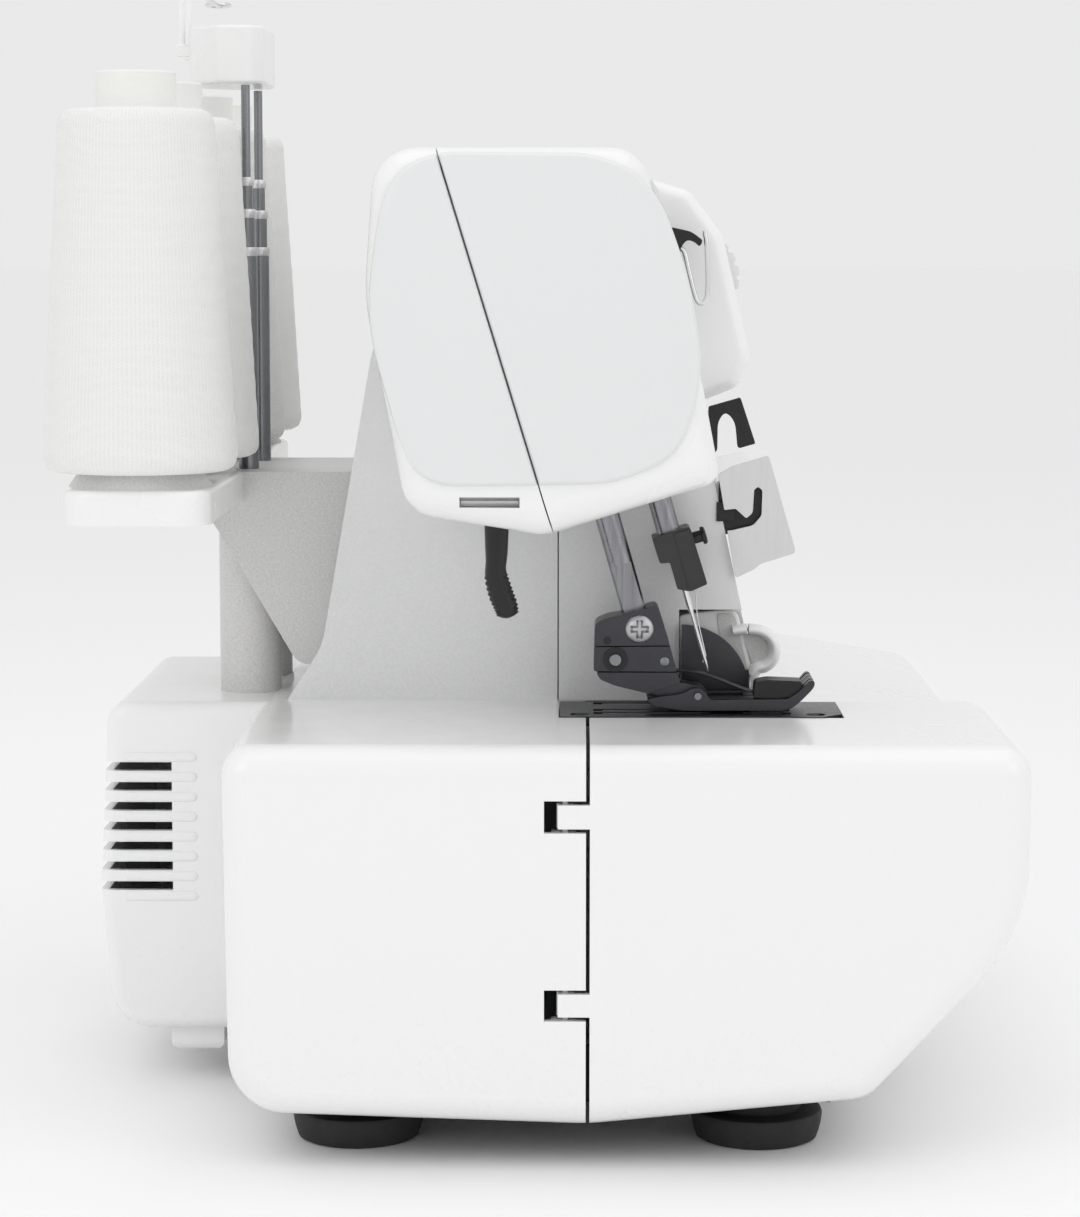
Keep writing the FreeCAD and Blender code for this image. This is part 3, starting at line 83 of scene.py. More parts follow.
def setCamera():
    pitch, yaw = math.radians(studio["pitch"]), math.radians(studio["yaw"])
    ahead = Vector((math.cos(pitch) * math.cos(yaw), math.cos(pitch) * math.sin(yaw),
                    -math.sin(pitch)))
    data = bpy.data.cameras.new("viewer")
    data.lens, data.sensor_width = studio["lens"], studio["sensor"]
    data.clip_start, data.clip_end = studio["nearest"], studio["farthest"]
    bpy.context.scene.camera = aimed("viewer", data, studio["eye"], ahead)


def softLamp(name, spot, target, side, power):
    data = bpy.data.lights.new(name, "AREA")
    data.shape, data.size, data.size_y = "RECTANGLE", side, side
    data.energy = power
    aimed(name, data, spot, Vector(target) - Vector(spot))


setCamera()
for lamp in lamps:
    softLamp(*lamp)
print("camera and lamps set")


# Shader maths: a socket that takes Python operators

class Wire:
    def __init__(self, paint, socket):
        self.paint, self.socket = paint, socket

    def math(self, operation, first, second=None):
        values = {0: first} if second is None else {0: first, 1: second}
        return self.paint.add("Math", {"operation": operation}, values)

    def __add__(self, other): return self.math("ADD", self, other)
    def __sub__(self, other): return self.math("SUBTRACT", self, other)
    def __rsub__(self, other): return self.math("SUBTRACT", other, self)
    def __mul__(self, other): return self.math("MULTIPLY", self, other)
    def sine(self): return self.math("SINE", self)
    def larger(self, other): return self.math("MAXIMUM", self, other)


class Paint:
    # One material: its node tree, its Principled shader and the coordinates it reads.
    def __init__(self, name):
        self.material = bpy.data.materials.new(name)
        self.material.use_nodes = True
        self.tree = self.material.node_tree
        self.tree.nodes.clear()
        self.shader = self.tree.nodes.new("ShaderNodeBsdfPrincipled")
        output = self.tree.nodes.new("ShaderNodeOutputMaterial")
        self.tree.links.new(self.shader.outputs["BSDF"], output.inputs["Surface"])
        self.place = self.add("TexCoord", out="Object")

    def add(self, kind, settings=None, inputs=None, out=0):
        node = self.tree.nodes.new("ShaderNode" + kind)
        for key, value in (settings or {}).items():
            if key == "stops":
                ramp = node.color_ramp.elements
                while len(ramp) < len(value):
                    ramp.new(0.5)
                for stop, (spot, tone) in zip(ramp, value):
                    stop.position = spot
                    stop.color = (tone, tone, tone, 1)
            else:
                setattr(node, key, value)
        for key, value in (inputs or {}).items():
            self.join(node.inputs[key], value)
        return Wire(self, node.outputs[out])

    def join(self, socket, value):
        if isinstance(value, Wire):
            self.tree.links.new(value.socket, socket)
        elif hasattr(socket.default_value, "__len__") and len(socket.default_value) == 4:
            socket.default_value = (*value[:3], 1)
        else:
            socket.default_value = value

    def set(self, **values):
        for key, value in values.items():
            self.join(self.shader.inputs[key.replace("_", " ")], value)
        return self.material

    def noise(self, scale, detail=2.0, rough=0.5, where=None):
        return self.add("TexNoise", None, {"Vector": where or self.place, "Scale": scale,
                                           "Detail": detail, "Roughness": rough})

    def ramp(self, value, *stops):
        return self.add("ValToRGB", {"stops": stops}, {0: value})

    def mix(self, amount, first, second):
        return self.add("Mix", {"data_type": "RGBA"}, {0: amount, 6: first, 7: second}, out=2)

    def bump(self, height, strength, distance, under=None):
        values = {"Height": height, "Strength": strength, "Distance": distance}
        if under is not None:
            values["Normal"] = under
        return self.add("Bump", None, values)

    def axis(self, letter, where=None):
        return self.add("SeparateXYZ", None, {0: where or self.place}, out=letter)


def grown(tone, factor):
    return tuple(min(1.0, value * factor) for value in tone)


caseLook = {
    "tone": (0.89, 0.893, 0.89), "capTone": (0.79, 0.798, 0.803), "dustTone": (0.52, 0.49, 0.44),
    "rough": 0.2, "peel": 420.0, "grain": 1500,
    # the column's grain tone is darker than the case: painted shade under the head
    "shadedGrainTone": (0.64, 0.64, 0.648), "grainRough": 0.42,
    "coat": {"IOR": 1.5, "Coat_Weight": 0.25, "Coat_Roughness": 0.08},
}


def caseSurface(p, paint):
    # Tone, roughness and bump of the gloss moulding: soft clouds, handling smudges, orange peel.
    tone = p.mix(p.noise(5.5, 2) * 0.5, paint, grown(paint, 0.972))
    smudge = p.ramp(p.noise(14, 5, 0.6), (0.42, 0.0), (0.72, 1.0))
    return (tone, smudge * 0.1 + caseLook["rough"],
            p.bump(p.noise(caseLook["peel"], 2, 0.5), 0.05, 0.0004))


def makeCaseWhite(name="caseWhite", paint=caseLook["tone"]):
    # Gloss moulding with specks of dust, thickest low down.
    p = Paint(name)
    tone, gloss, normal = caseSurface(p, paint)
    low = p.ramp(p.axis("Z") * 12.0, (0.1, 1.0), (0.75, 0.0))
    dust = p.ramp(p.noise(900, 3, 0.7), (0.57, 0.0), (0.7, 1.0)) * (low * 0.5 + 0.12)
    tone = p.mix(dust * 0.22, tone, caseLook["dustTone"])
    return p.set(Base_Color=tone, Roughness=gloss, Normal=normal, **caseLook["coat"])


def makeColumnWhite():
    # The head is gloss moulding. Past its inner end the column is spark-grained: finer bump, speckled
    # tone and less gloss. Its grain tone is also darker, painted shade from the head above, and that
    # painted shade fades forwards and upwards.
    p = Paint("armWhite")
    smooth, gloss, normal = caseSurface(p, caseLook["tone"])
    inner = p.ramp(p.axis("X") + 0.5, (0.4325, 0.0), (0.4345, 1.0))
    shadeFadeFront = p.ramp(p.axis("Y") + 0.5, (0.4545, 1.0), (0.4575, 0.25))
    # the painted shade on the column lightens towards its top
    high = p.ramp(p.axis("Z") * 3.0, (0.42, 0.0), (0.66, 1.0))
    grain = p.noise(caseLook["grain"], 3, 0.75)
    speckle = p.ramp(grain, (0.38, 0.0), (0.62, 1.0))
    grainAndShade = p.mix(speckle, grown(caseLook["shadedGrainTone"], 0.86), grown(caseLook["shadedGrainTone"], 1.08))
    grainAndShade = p.mix(high * 0.6, grainAndShade, smooth)
    # painted shade: the darker grain tone is mixed in past the head's inner end, mostly behind the
    # front
    return p.set(Base_Color=p.mix(inner * (1.15 - shadeFadeFront), smooth, grainAndShade),
                 Roughness=gloss + inner * (caseLook["grainRough"] - caseLook["rough"]),
                 Normal=p.bump(grain * inner, 0.22, 0.0005, normal), **caseLook["coat"])


def makePlastic(name, tone, rough, grainScale=700.0, grainDepth=0.12, coat=0.0, fleck=0.06):
    # Textured moulding: mottled tone, sparked grain, worn gloss patches.
    p = Paint(name)
    grain = p.noise(grainScale, 3, 0.7)
    worn = p.ramp(p.noise(22, 4, 0.6), (0.45, 0.0), (0.75, 1.0))
    mottle = p.ramp(grain, (0.35, 0.0), (0.65, 1.0))
    shade = p.mix(mottle, grown(tone, 1 - fleck), grown(tone, 1 + fleck))
    return p.set(Base_Color=shade, Roughness=rough - worn * 0.09,
                 Normal=p.bump(grain, grainDepth, 0.0004), Coat_Weight=coat, Coat_Roughness=0.12)


def makeMetal(name, tone, rough, brush=(60, 60, 900), depth=0.06, stain=0.1, streakAndReflection=0.35):
    # Metal: tool marks stretched along one axis, fingerprints in the gloss, darker stains. A large
    # streak value also paints light and dark reflection bands along the marks.
    p = Paint(name)
    run = p.add("Mapping", None, {0: p.place, 3: brush})
    marks = p.noise(1.0, 4, 0.65, run)
    prints = p.ramp(p.noise(45, 5, 0.6), (0.4, 0.0), (0.75, 1.0))
    shade = p.mix(prints * stain * 2, tone, grown(tone, 0.72))
    # streak strength: tool marks, and on the chrome bars and poles painted reflection bands
    shade = p.mix(marks * streakAndReflection, shade, grown(tone, 1.12 + streakAndReflection))
    return p.set(Base_Color=shade, Metallic=1.0, Roughness=marks * 0.12 + prints * 0.1 + rough,
                 Normal=p.bump(marks, depth, 0.0003))


def makeRubber(name, tone):
    # Rubber: fine grain, and a pale bloom that dulls it in patches.
    p = Paint(name)
    bloom = p.ramp(p.noise(60, 5, 0.65), (0.45, 0.0), (0.8, 1.0))
    grain = p.noise(1100, 2, 0.6)
    return p.set(Base_Color=p.mix(bloom * 0.35, tone, grown(tone, 2.6)),
                 Roughness=0.74 - bloom * 0.12, Normal=p.bump(grain, 0.25, 0.0004))


looks = {
    "case_white": makeCaseWhite(),
    "arm_white": makeColumnWhite(),
    "cap_white": makeCaseWhite("capWhite", caseLook["capTone"]),
    "stand_grey": makePlastic("standWhite", (0.66, 0.655, 0.65), 0.42, 1300, 0.2, 0.1, 0.09),
    # The base pan's near-black tone is painted shade, taken from the shadow under the base skirt.
    "pan_black": makePlastic("panShadeBlack", (0.03, 0.03, 0.033), 0.5),
    "dial_grey": makePlastic("dialWhite", (0.80, 0.80, 0.80), 0.34, 900, 0.08, 0.15, 0.03),
    "foot_rubber": makeRubber("footRubber", (0.018, 0.018, 0.019)),
    "belt_rubber": makeRubber("beltRubber", (0.03, 0.03, 0.03)),
    "cast_alloy": makeMetal("castAlloy", (0.55, 0.56, 0.57), 0.42, (500, 500, 500), 0.2, 0.15),
    "gunmetal": makeMetal("gunmetal", (0.068, 0.068, 0.075), 0.25, (90, 900, 900), 0.08, 0.2),
    "bright_steel": makeMetal("brightSteel", (0.74, 0.74, 0.75), 0.1, (400, 400, 60), 0.03),
    # Chrome bar and poles: near-black tones paint the dark reflections of the room, and strong
    # streaks paint light reflection bands along them.
    "bar_chrome": makeMetal("barChrome", (0.115, 0.115, 0.122), 0.16, (420, 420, 12), 0.05, 0.3, 1.6),
    "pole_chrome": makeMetal("poleChrome", (0.20, 0.205, 0.215), 0.16, (420, 420, 9), 0.05, 0.3, 0.7),
    "guide_steel": makeMetal("guideSteel", (0.66, 0.655, 0.665), 0.3, (40, 900, 60), 0.08, 0.06),
    "clamp_grey": makeMetal("clampGrey", (0.06, 0.058, 0.06), 0.28, (900, 60, 700), 0.12, 0.2, 0.4),
    "plain_steel": makeMetal("plainSteel", (0.50, 0.50, 0.51), 0.26, (900, 90, 900), 0.08, 0.2),
    "bush_brass": makeMetal("bushBrass", (0.62, 0.45, 0.2), 0.35, (300, 300, 300), 0.1),
    "motor_paint": makePlastic("motorPaint", (0.05, 0.05, 0.055), 0.36, 500, 0.1, 0.2),
    "thread_wound": makePlastic("threadPlain", (0.86, 0.86, 0.84), 0.7),
    "lever_black": makePlastic("leverBlack", (0.004, 0.004, 0.0045), 0.42, 900, 0.1),
}

slotOf = {part["node"]: part["material_slot"] for part in frame["record"]["subparts"]}
for name, item in nodes.items():
    look = "arm_white" if name.startswith("arm_") else slotOf[name]
    look = {"needle_bar": "bar_chrome", "presser_bar": "bar_chrome"}.get(name, look)
    look = "pole_chrome" if name.startswith("pole_") else look
    item.data.materials.clear()
    item.data.materials.append(looks[look])
print("materials made:", len(looks))


def makeFloor():
    # A wide matt floor that is no piece of the machine, and an even sky.
    half = studio["floorHalf"]
    mesh = bpy.data.meshes.new("floor")
    mesh.from_pydata([(-half, -half, 0), (half, -half, 0), (half, half, 0), (-half, half, 0)],
                     [], [(0, 1, 2, 3)])
    floor = bpy.data.objects.new("floor", mesh)
    bpy.context.scene.collection.objects.link(floor)
    p = Paint("floorPaint")
    cloud = p.noise(1.5, 2)
    mesh.materials.append(p.set(
        Base_Color=p.mix(cloud * 0.2, studio["floorTone"], grown(studio["floorTone"], 0.985)),
        Roughness=0.6))
    sky = bpy.data.worlds.new("sky")
    sky.use_nodes = True
    air = sky.node_tree.nodes["Background"]
    air.inputs[0].default_value = (*studio["skyTone"], 1)
    air.inputs[1].default_value = studio["skyPower"]
    bpy.context.scene.world = sky
    bpy.context.scene.view_settings.view_transform = "Standard"


makeFloor()


# Shapes: whole-array surfaces in millimetres, put into meshes in metres

def gridFaces(rows, columns, over=False):
    # Quads between neighbouring rows, each a closed loop; over joins the last row to the first.
    row = np.arange(rows if over else rows - 1)[:, None]
    column = np.arange(columns)[None, :]
    below, beside = (row + 1) % rows, (column + 1) % columns
    quad = [row * columns + column, row * columns + beside,
            below * columns + beside, below * columns + column]
    return np.stack(np.broadcast_arrays(*quad), -1).reshape(-1, 4).tolist()


def turned(profile, foot, axis="Z", count=48, flutes=0, depth=0.0, hollow=False):
    # Point = foot + height along the axis + radius * (cos t, sin t): a profile of
    # (radius, height) turned about the axis. Flutes ripple the radius by depth * cos(flutes * t).
    radius, height = np.asarray(profile, float).T
    t = np.linspace(0, math.tau, count, endpoint=False)
    spread = radius[:, None] * (1 - depth * (0.5 + 0.5 * np.cos(flutes * t)) * (flutes > 0))
    disc = np.stack([spread * np.cos(t), spread * np.sin(t),
                     np.broadcast_to(height[:, None], spread.shape)], -1).reshape(-1, 3)
    order = {"Z": [0, 1, 2], "X": [2, 0, 1], "Y": [0, 2, 1]}[axis]
    faces = gridFaces(len(radius), count, hollow)
    if not hollow:
        last = (len(radius) - 1) * count
        faces += [list(range(count)), list(range(last, last + count))]
    return disc[:, order] + np.asarray(foot, float), faces


def slab(outline, low, high, plane="YZ"):
    # Two end faces with one flat outline, and a wall between them, low to high across the plane.
    flat = np.asarray(outline, float)
    count = len(flat)
    ends = [np.column_stack([flat, np.full(count, float(level))]) for level in (low, high)]
    order = {"YZ": [2, 0, 1], "XY": [0, 1, 2], "XZ": [0, 2, 1]}[plane]
    faces = gridFaces(2, count) + [list(range(count)), list(range(count, 2 * count))]
    return np.concatenate(ends)[:, order], faces


def eased(corners, steps=5):
    # Corners given as (u, v, r) become arcs that leave and meet the sides r from the corner.
    made = []
    for before, here, after in zip(corners[-1:] + corners[:-1], corners, corners[1:] + corners[:1]):
        spot = np.array(here[:2], float)
        if len(here) == 2:
            made.append(spot[None])
            continue
        ends = []
        for side in (np.array(near[:2], float) - spot for near in (before, after)):
            span = np.hypot(*side)
            ends.append(side / span * min(here[2], 0.48 * span))
        first, last = ends
        t = np.linspace(0, 1, steps)[:, None]
        made.append(spot + first * (1 - t) ** 2 + last * t ** 2)
    return np.concatenate(made)


def clipped(outline, distance):
    # The part of a closed outline on the positive side of a line, with the two crossings added.
    following, beyond = np.roll(outline, -1, 0), np.roll(distance, -1)
    crosses = distance * beyond < 0
    share = np.where(crosses, distance / np.where(crosses, distance - beyond, 1), 0)[:, None]
    cuts = outline + (following - outline) * share
    both = np.stack([outline, cuts], 1).reshape(-1, 2)
    keep = np.stack([distance > 0, crosses], 1).ravel()
    return both[keep]


def smoothPath(knots, count):
    # Catmull-Rom curve through the knots: cubic between each pair, slopes from the neighbours.
    k = np.asarray(knots, float)
    padded = np.concatenate([2 * k[:1] - k[1:2], k, 2 * k[-1:] - k[-2:-1]])
    where = np.linspace(0, len(k) - 1.000001, count)
    step = where.astype(int)
    t = (where - step)[:, None]
    a, b, c, d = (padded[step + shift] for shift in range(4))
    return 0.5 * (2 * b + (c - a) * t + (2 * a - 5 * b + 4 * c - d) * t ** 2
                  + (3 * b - a - 3 * c + d) * t ** 3)


def swept(path, wide, tall=None, count=10, lift=(0, 0, 1)):
    # Point = path + wide * cos t * side + tall * sin t * rise; side is square to the path and
    # the lift direction, rise is square to both. wide and tall may change along the path.
    line = np.asarray(path, float)
    ahead = np.gradient(line, axis=0)
    ahead /= np.linalg.norm(ahead, axis=1)[:, None]
    side = np.cross(ahead, lift)
    side /= np.linalg.norm(side, axis=1)[:, None]
    rise = np.cross(side, ahead)
    tall = wide if tall is None else tall
    t = np.linspace(0, math.tau, count, endpoint=False)
    wide, tall = (np.broadcast_to(value, len(line))[:, None, None] for value in (wide, tall))
    points = (line[:, None] + wide * np.cos(t)[:, None] * side[:, None]
              + tall * np.sin(t)[:, None] * rise[:, None])
    last = (len(line) - 1) * count
    faces = gridFaces(len(line), count) + [list(range(count)), list(range(last, last + count))]
    return points.reshape(-1, 3), faces


lean = {"angle": math.radians(16), "needle": (-82, -38.2, 182.4)}


def leaned(shape, origin):
    # The needle bar leans back: columns are (across, behind, up) along the bar.
    points, faces = shape
    c, s = math.cos(lean["angle"]), math.sin(lean["angle"])
    axes = np.array([[1, 0, 0], [0, c, -s], [0, s, c]])
    return np.asarray(points) @ axes + np.asarray(origin, float), faces


def joined(*shapes):
    points, faces, start = [], [], 0
    for spots, sides in shapes:
        points.append(np.asarray(spots, float))
        faces += [[corner + start for corner in side] for side in sides]
        start += len(spots)
    return np.concatenate(points), faces


def addPiece(name, shape, look, body, stands=(), bevel=0.0, sharp=35):
    # One object from points in millimetres. stands are the nodes it is shown in place of; bevel is
    # in millimetres, sharp in degrees.
    points, faces = shape
    mesh = bpy.data.meshes.new(name)
    mesh.from_pydata((np.asarray(points) * 0.001).tolist(), [], faces)
    mesh.validate()
    shell = bmesh.new()
    shell.from_mesh(mesh)
    bmesh.ops.recalc_face_normals(shell, faces=shell.faces)
    shell.to_mesh(mesh)
    shell.free()
    mesh.shade_smooth()
    mesh.set_sharp_from_angle(angle=math.radians(sharp))
    item = bpy.data.objects.new(name, mesh)
    bpy.context.scene.collection.objects.link(item)
    mesh.materials.append(look)
    if bevel:
        edge = item.modifiers.new("edges", "BEVEL")
        edge.width, edge.segments = bevel * 0.001, 3
        edge.limit_method, edge.angle_limit = "ANGLE", math.radians(28)
        edge.harden_normals = True
    if body:
        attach(item, body)
    if stands:
        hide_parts(*stands)
    return item


# Thread cones

cone = {
    "places": (-124, -59, 29, 94), "y": 115, "foot": 197.6, "tall": 104,
    "radius": 28.5, "topRadius": 22.5, "shoulder": 5.5, "ripple": 0.14, "weave": (5, 7),
    "tubeRadius": 11.6, "tubeBore": 8, "tubeTop": 312.4, "strandsUp": 170.0, "strandsRound": 66.0,
}


def woundCone(x, seed):
    # Radius falls in a straight line up the cone and rolls over a rounded shoulder at each end.
    # Crossing helices ripple it, sin(a t + tau b v) * sin(a t - tau b v), and a slow drift.
    rows, columns = 110, 168
    v = np.linspace(0, 1, rows)[:, None]
    t = np.linspace(0, math.tau, columns, endpoint=False)[None, :]
    height = v * cone["tall"]
    radius = cone["radius"] + (cone["topRadius"] - cone["radius"]) * v
    edge = np.minimum(height, cone["tall"] - height)
    roll = np.clip(1 - edge / cone["shoulder"], 0, 1)
    radius = radius - cone["shoulder"] * 0.62 * (1 - np.sqrt(np.clip(1 - roll ** 2, 0, 1)))
    around, along = cone["weave"]
    weave = (np.sin(around * t + math.tau * along * v)
             * np.sin(around * t - math.tau * along * v + seed))
    drift = np.sin(2 * t + 5 * v + seed) * 0.5 + np.sin(3 * t - 9 * v + 2 * seed) * 0.4
    radius = radius - cone["ripple"] * (1 + weave * 0.8 + drift) * (1 - roll)
    points = np.stack([x + radius * np.cos(t), cone["y"] + radius * np.sin(t),
                       cone["foot"] + height + 0 * t], -1).reshape(-1, 3)
    last = (rows - 1) * columns
    well = np.column_stack([np.cos(t[0]), np.sin(t[0])]) * cone["tubeRadius"]
    rims = [np.column_stack([well + [x, cone["y"]], np.full(columns, level)])
            for level in (cone["foot"] + cone["tall"] - 0.6, cone["foot"] + 0.6)]
    faces = gridFaces(rows, columns)
    near, far = rows * columns, (rows + 1) * columns
    step = np.arange(columns)
    after = (step + 1) % columns
    faces += np.stack([last + step, last + after, near + after, near + step], -1).tolist()
    faces += np.stack([near + step, near + after, far + after, far + step], -1).tolist()
    faces += np.stack([far + step, far + after, after, step], -1).tolist()
    return np.concatenate([points, *rims]), faces


def makeThread():
    # Cross-wound thread: fine crossing helices on the angle round the cone and the height up it,
    # painted shade in the valleys between strands, a soft sheen from the fibres.
    p = Paint("woundThread")
    turn = p.add("UVMap", {"uv_map": "wound"})
    across, up = p.axis("X", turn), p.axis("Y", turn)
    climb, spin = up * cone["strandsUp"], across * cone["strandsRound"]
    first = ((climb + spin) * math.tau).sine()
    second = ((climb - spin) * math.tau).sine()
    broad = p.noise(1.0, 3, 0.6, p.add("Mapping", None, {0: turn, 3: (18, 60, 1)}))
    strands = first.larger(second)
    # painted shade in the valleys between the strands
    strandShade = p.ramp(strands, (0.0, 1.0), (0.55, 0.0))
    tone = p.mix(broad * 0.6, (0.94, 0.94, 0.925), (0.87, 0.87, 0.85))
    tone = p.mix(strandShade * 0.3, tone, (0.72, 0.72, 0.70))
    return p.set(Base_Color=tone, Roughness=0.62, Sheen_Weight=0.25, Sheen_Roughness=0.4,
                 Normal=p.bump(strands * 0.6 + broad * 0.5, 0.5, 0.0003))


def makeCard():
    # Grey-white card with fibres that run up the tube.
    p = Paint("tubeCard")
    fibre = p.noise(1.0, 4, 0.7, p.add("Mapping", None, {0: p.place, 3: (260, 260, 900)}))
    return p.set(Base_Color=p.mix(fibre * 0.5, (0.88, 0.88, 0.86), (0.76, 0.75, 0.72)),
                 Roughness=0.5, Normal=p.bump(fibre, 0.15, 0.0003))


def addCones():
    # Each wound body has its own UV: turns round the cone and height up it, both from 0 to 1. A
    # face that crosses the join behind has its low corners moved one turn on.
    thread, card = makeThread(), makeCard()
    wall = [(cone["tubeBore"], cone["foot"]), (cone["tubeRadius"], cone["foot"]),
            (cone["tubeRadius"], cone["tubeTop"] - 0.6), (cone["tubeRadius"] - 0.5, cone["tubeTop"]),
            (cone["tubeBore"] + 0.5, cone["tubeTop"]), (cone["tubeBore"], cone["tubeTop"] - 0.6)]
    for number, x in enumerate(cone["places"], start=1):
        body = f"thread_cone_{number}"
        wound = addPiece(f"coneWound{number}", woundCone(x, number * 1.7), thread, body,
                         [body], sharp=60)
        mesh = wound.data
        corners = np.zeros(len(mesh.loops), int)
        mesh.loops.foreach_get("vertex_index", corners)
        spots = np.zeros(len(mesh.vertices) * 3)
        mesh.vertices.foreach_get("co", spots)
        spots = spots.reshape(-1, 3)[corners] * 1000
        turn = np.arctan2(spots[:, 1] - cone["y"], spots[:, 0] - x) / math.tau
        starts = np.zeros(len(mesh.polygons), int)
        mesh.polygons.foreach_get("loop_start", starts)
        owner = np.repeat(np.arange(len(starts)), np.diff(np.append(starts, len(corners))))
        high = np.full(len(starts), -1.0)
        np.maximum.at(high, owner, turn)
        turn = np.where((high[owner] > 0.4) & (turn < 0), turn + 1, turn)
        uv = np.column_stack([turn, (spots[:, 2] - cone["foot"]) / cone["tall"]])
        mesh.uv_layers.new(name="wound").data.foreach_set("uv", uv.ravel())
        addPiece(f"coneTube{number}", turned(wall, (x, cone["y"], 0), hollow=True), card, body)
    print("cones wound")


# Guide head on the telescopic pole

guideHead = {
    "back": 111.2, "front": 86.6, "low": 313.4, "high": 331.6, "left": -38, "right": 8,
    "barZ": 347, "barY": 115, "wire": 0.9, "eye": 4.0, "reach": (-128, 98),
    "stalks": (-25.0, -5.0), "stalkY": 113.6,
    "tab": [(-3, -3), (3, -3), (3, 1.6, 2.5), (-3, 1.6, 2.5)], "tabZ": (322.4, 325.4),
    "stalk": [(0.3, 323.0), (2.2, 323.0), (2.2, 325.6), (1.1, 326.4), (1.1, 346.4), (0.3, 347.4)],
}


def addGuideHead():
    g = guideHead
    left, right = g["left"], g["right"]
    outline = eased([(g["back"], left + 10, 2.5), (g["back"], right - 10, 2.5), (101, right, 2),
                     (91, right, 2), (g["front"], right - 5, 1.5), (g["front"], left + 5, 1.5),
                     (91, left, 2), (101, left, 2)])
    addPiece("guideHeadBlock", slab(outline[:, ::-1], g["low"], g["high"], "XY"),
             looks["case_white"], "pole_top", ["guide_head"], bevel=1.2)
    stalks = []
    for x in g["stalks"]:
        tab = [(x + spot[0], g["stalkY"] + spot[1], *spot[2:]) for spot in g["tab"]]
        stalks.append(turned(g["stalk"], (x, g["stalkY"], 0), count=24))
        stalks.append(slab(eased(tab, 6), *g["tabZ"], "XY"))
    addPiece("guideHeadStalks", joined(*stalks), looks["case_white"], "pole_top",
             sharp=50)
    # A cross wire along the head with one flat ring over each cone, its ends 0.25 mm apart.
    bar = np.array([(x, g["barY"], g["barZ"]) for x in g["reach"]], float)
    wires = [swept(np.linspace(*bar, 40), g["wire"], count=12)]
    t = np.linspace(0, math.tau, 33)
    for x in cone["places"]:
        loop = np.column_stack([x + g["eye"] * np.cos(t), g["barY"] + g["eye"] * np.sin(t),
                                g["barZ"] + 0.25 * np.sin(t / 2)])
        wires.append(swept(loop, g["wire"] * 0.8))
    addPiece("guideHeadWires", joined(*wires), looks["bright_steel"], "pole_top",
             sharp=60)
    print("guide head made")


# Presser lifter

lifter = {
    "x": -110, "half": 3.6, "deep": 4.0, "rows": 120, "grip": (0.52, 0.96), "ribs": 22,
    "ribDepth": 0.55, "pivot": (11.5, 190),
    "spine": [(11.5, 195), (11.6, 184), (11.7, 172), (11.9, 166), (10.6, 160.5), (8.9, 156),
              (8.2, 152.7)],
    "hub": [(0.6, -3.6), (4.6, -3.6), (5.2, -3.0), (5.2, 3.0), (4.6, 3.6), (0.6, 3.6)],
}


def addLifter():
    # A blade carried down its spine, v from 0 to 1. It thins below the pivot and swells at the
    # grip, whose edge is ribbed by |sin(pi * ribs * v)|; both half sizes close like an ellipse,
    # sqrt(1 - s^2), at the tip.
    line = smoothPath([(lifter["x"], y, z) for y, z in lifter["spine"]], lifter["rows"])
    v = np.linspace(0, 1, lifter["rows"])
    start, end = lifter["grip"]
    swell = np.sin(np.clip((v - 0.45) / 0.5, 0, 1) * math.pi)
    deep = lifter["deep"] - 0.9 * np.clip((v - 0.1) / 0.3, 0, 1) + 0.5 * swell
    deep = deep * np.sqrt(np.clip(1 - ((v - 0.93) / 0.07).clip(0, 1) ** 2, 0.06, 1))
    ribs = np.abs(np.sin(v * math.pi * lifter["ribs"])) * (v > start) * (v < end)
    deep = deep + ribs * lifter["ribDepth"] - 0.3 * (v > start)
    tip = np.sqrt(np.clip(1 - ((v - 0.94) / 0.06).clip(0, 1) ** 2, 0.1, 1))
    blade = swept(line, lifter["half"] * (1 - 0.12 * v) * tip, deep, 28, lift=(0, 1, 0))
    hub = turned(lifter["hub"], (lifter["x"], *lifter["pivot"]), "X")
    addPiece("lifterLever", joined(blade, hub), looks["lever_black"], "presser_lifter",
             ["presser_lifter"], sharp=50)
    print("lifter made")


# Needle clamp, needles and their threads

needleSet = {
    "clamp": [(-7.0, -24.6, 0.6), (-1.4, -25.4, 1.0), (2.2, -23.6, 0.5), (2.2, -15.2, 0.4),
              (5.2, -14.6, 0.6), (5.4, -6.6, 0.6), (-6.6, -6.2, 1.2)],
    "clampHalf": 7, "face": [(-6.4, -24.0), (-1.2, -24.4), (-1.2, -7.0), (-6.0, -6.9)],
    "screws": (-3.4, 3.4), "screwSpot": (0, -9.4, -10.6),
    "screw": [(0.3, -4.2), (1.5, -4.2), (1.5, -0.2), (2.4, 0.0), (2.4, 0.9), (1.9, 1.3), (0.3, 1.3)],
    "needles": (-1.4, 1.4), "point": -51.0, "shank": -17, "thread": 0.16,
}


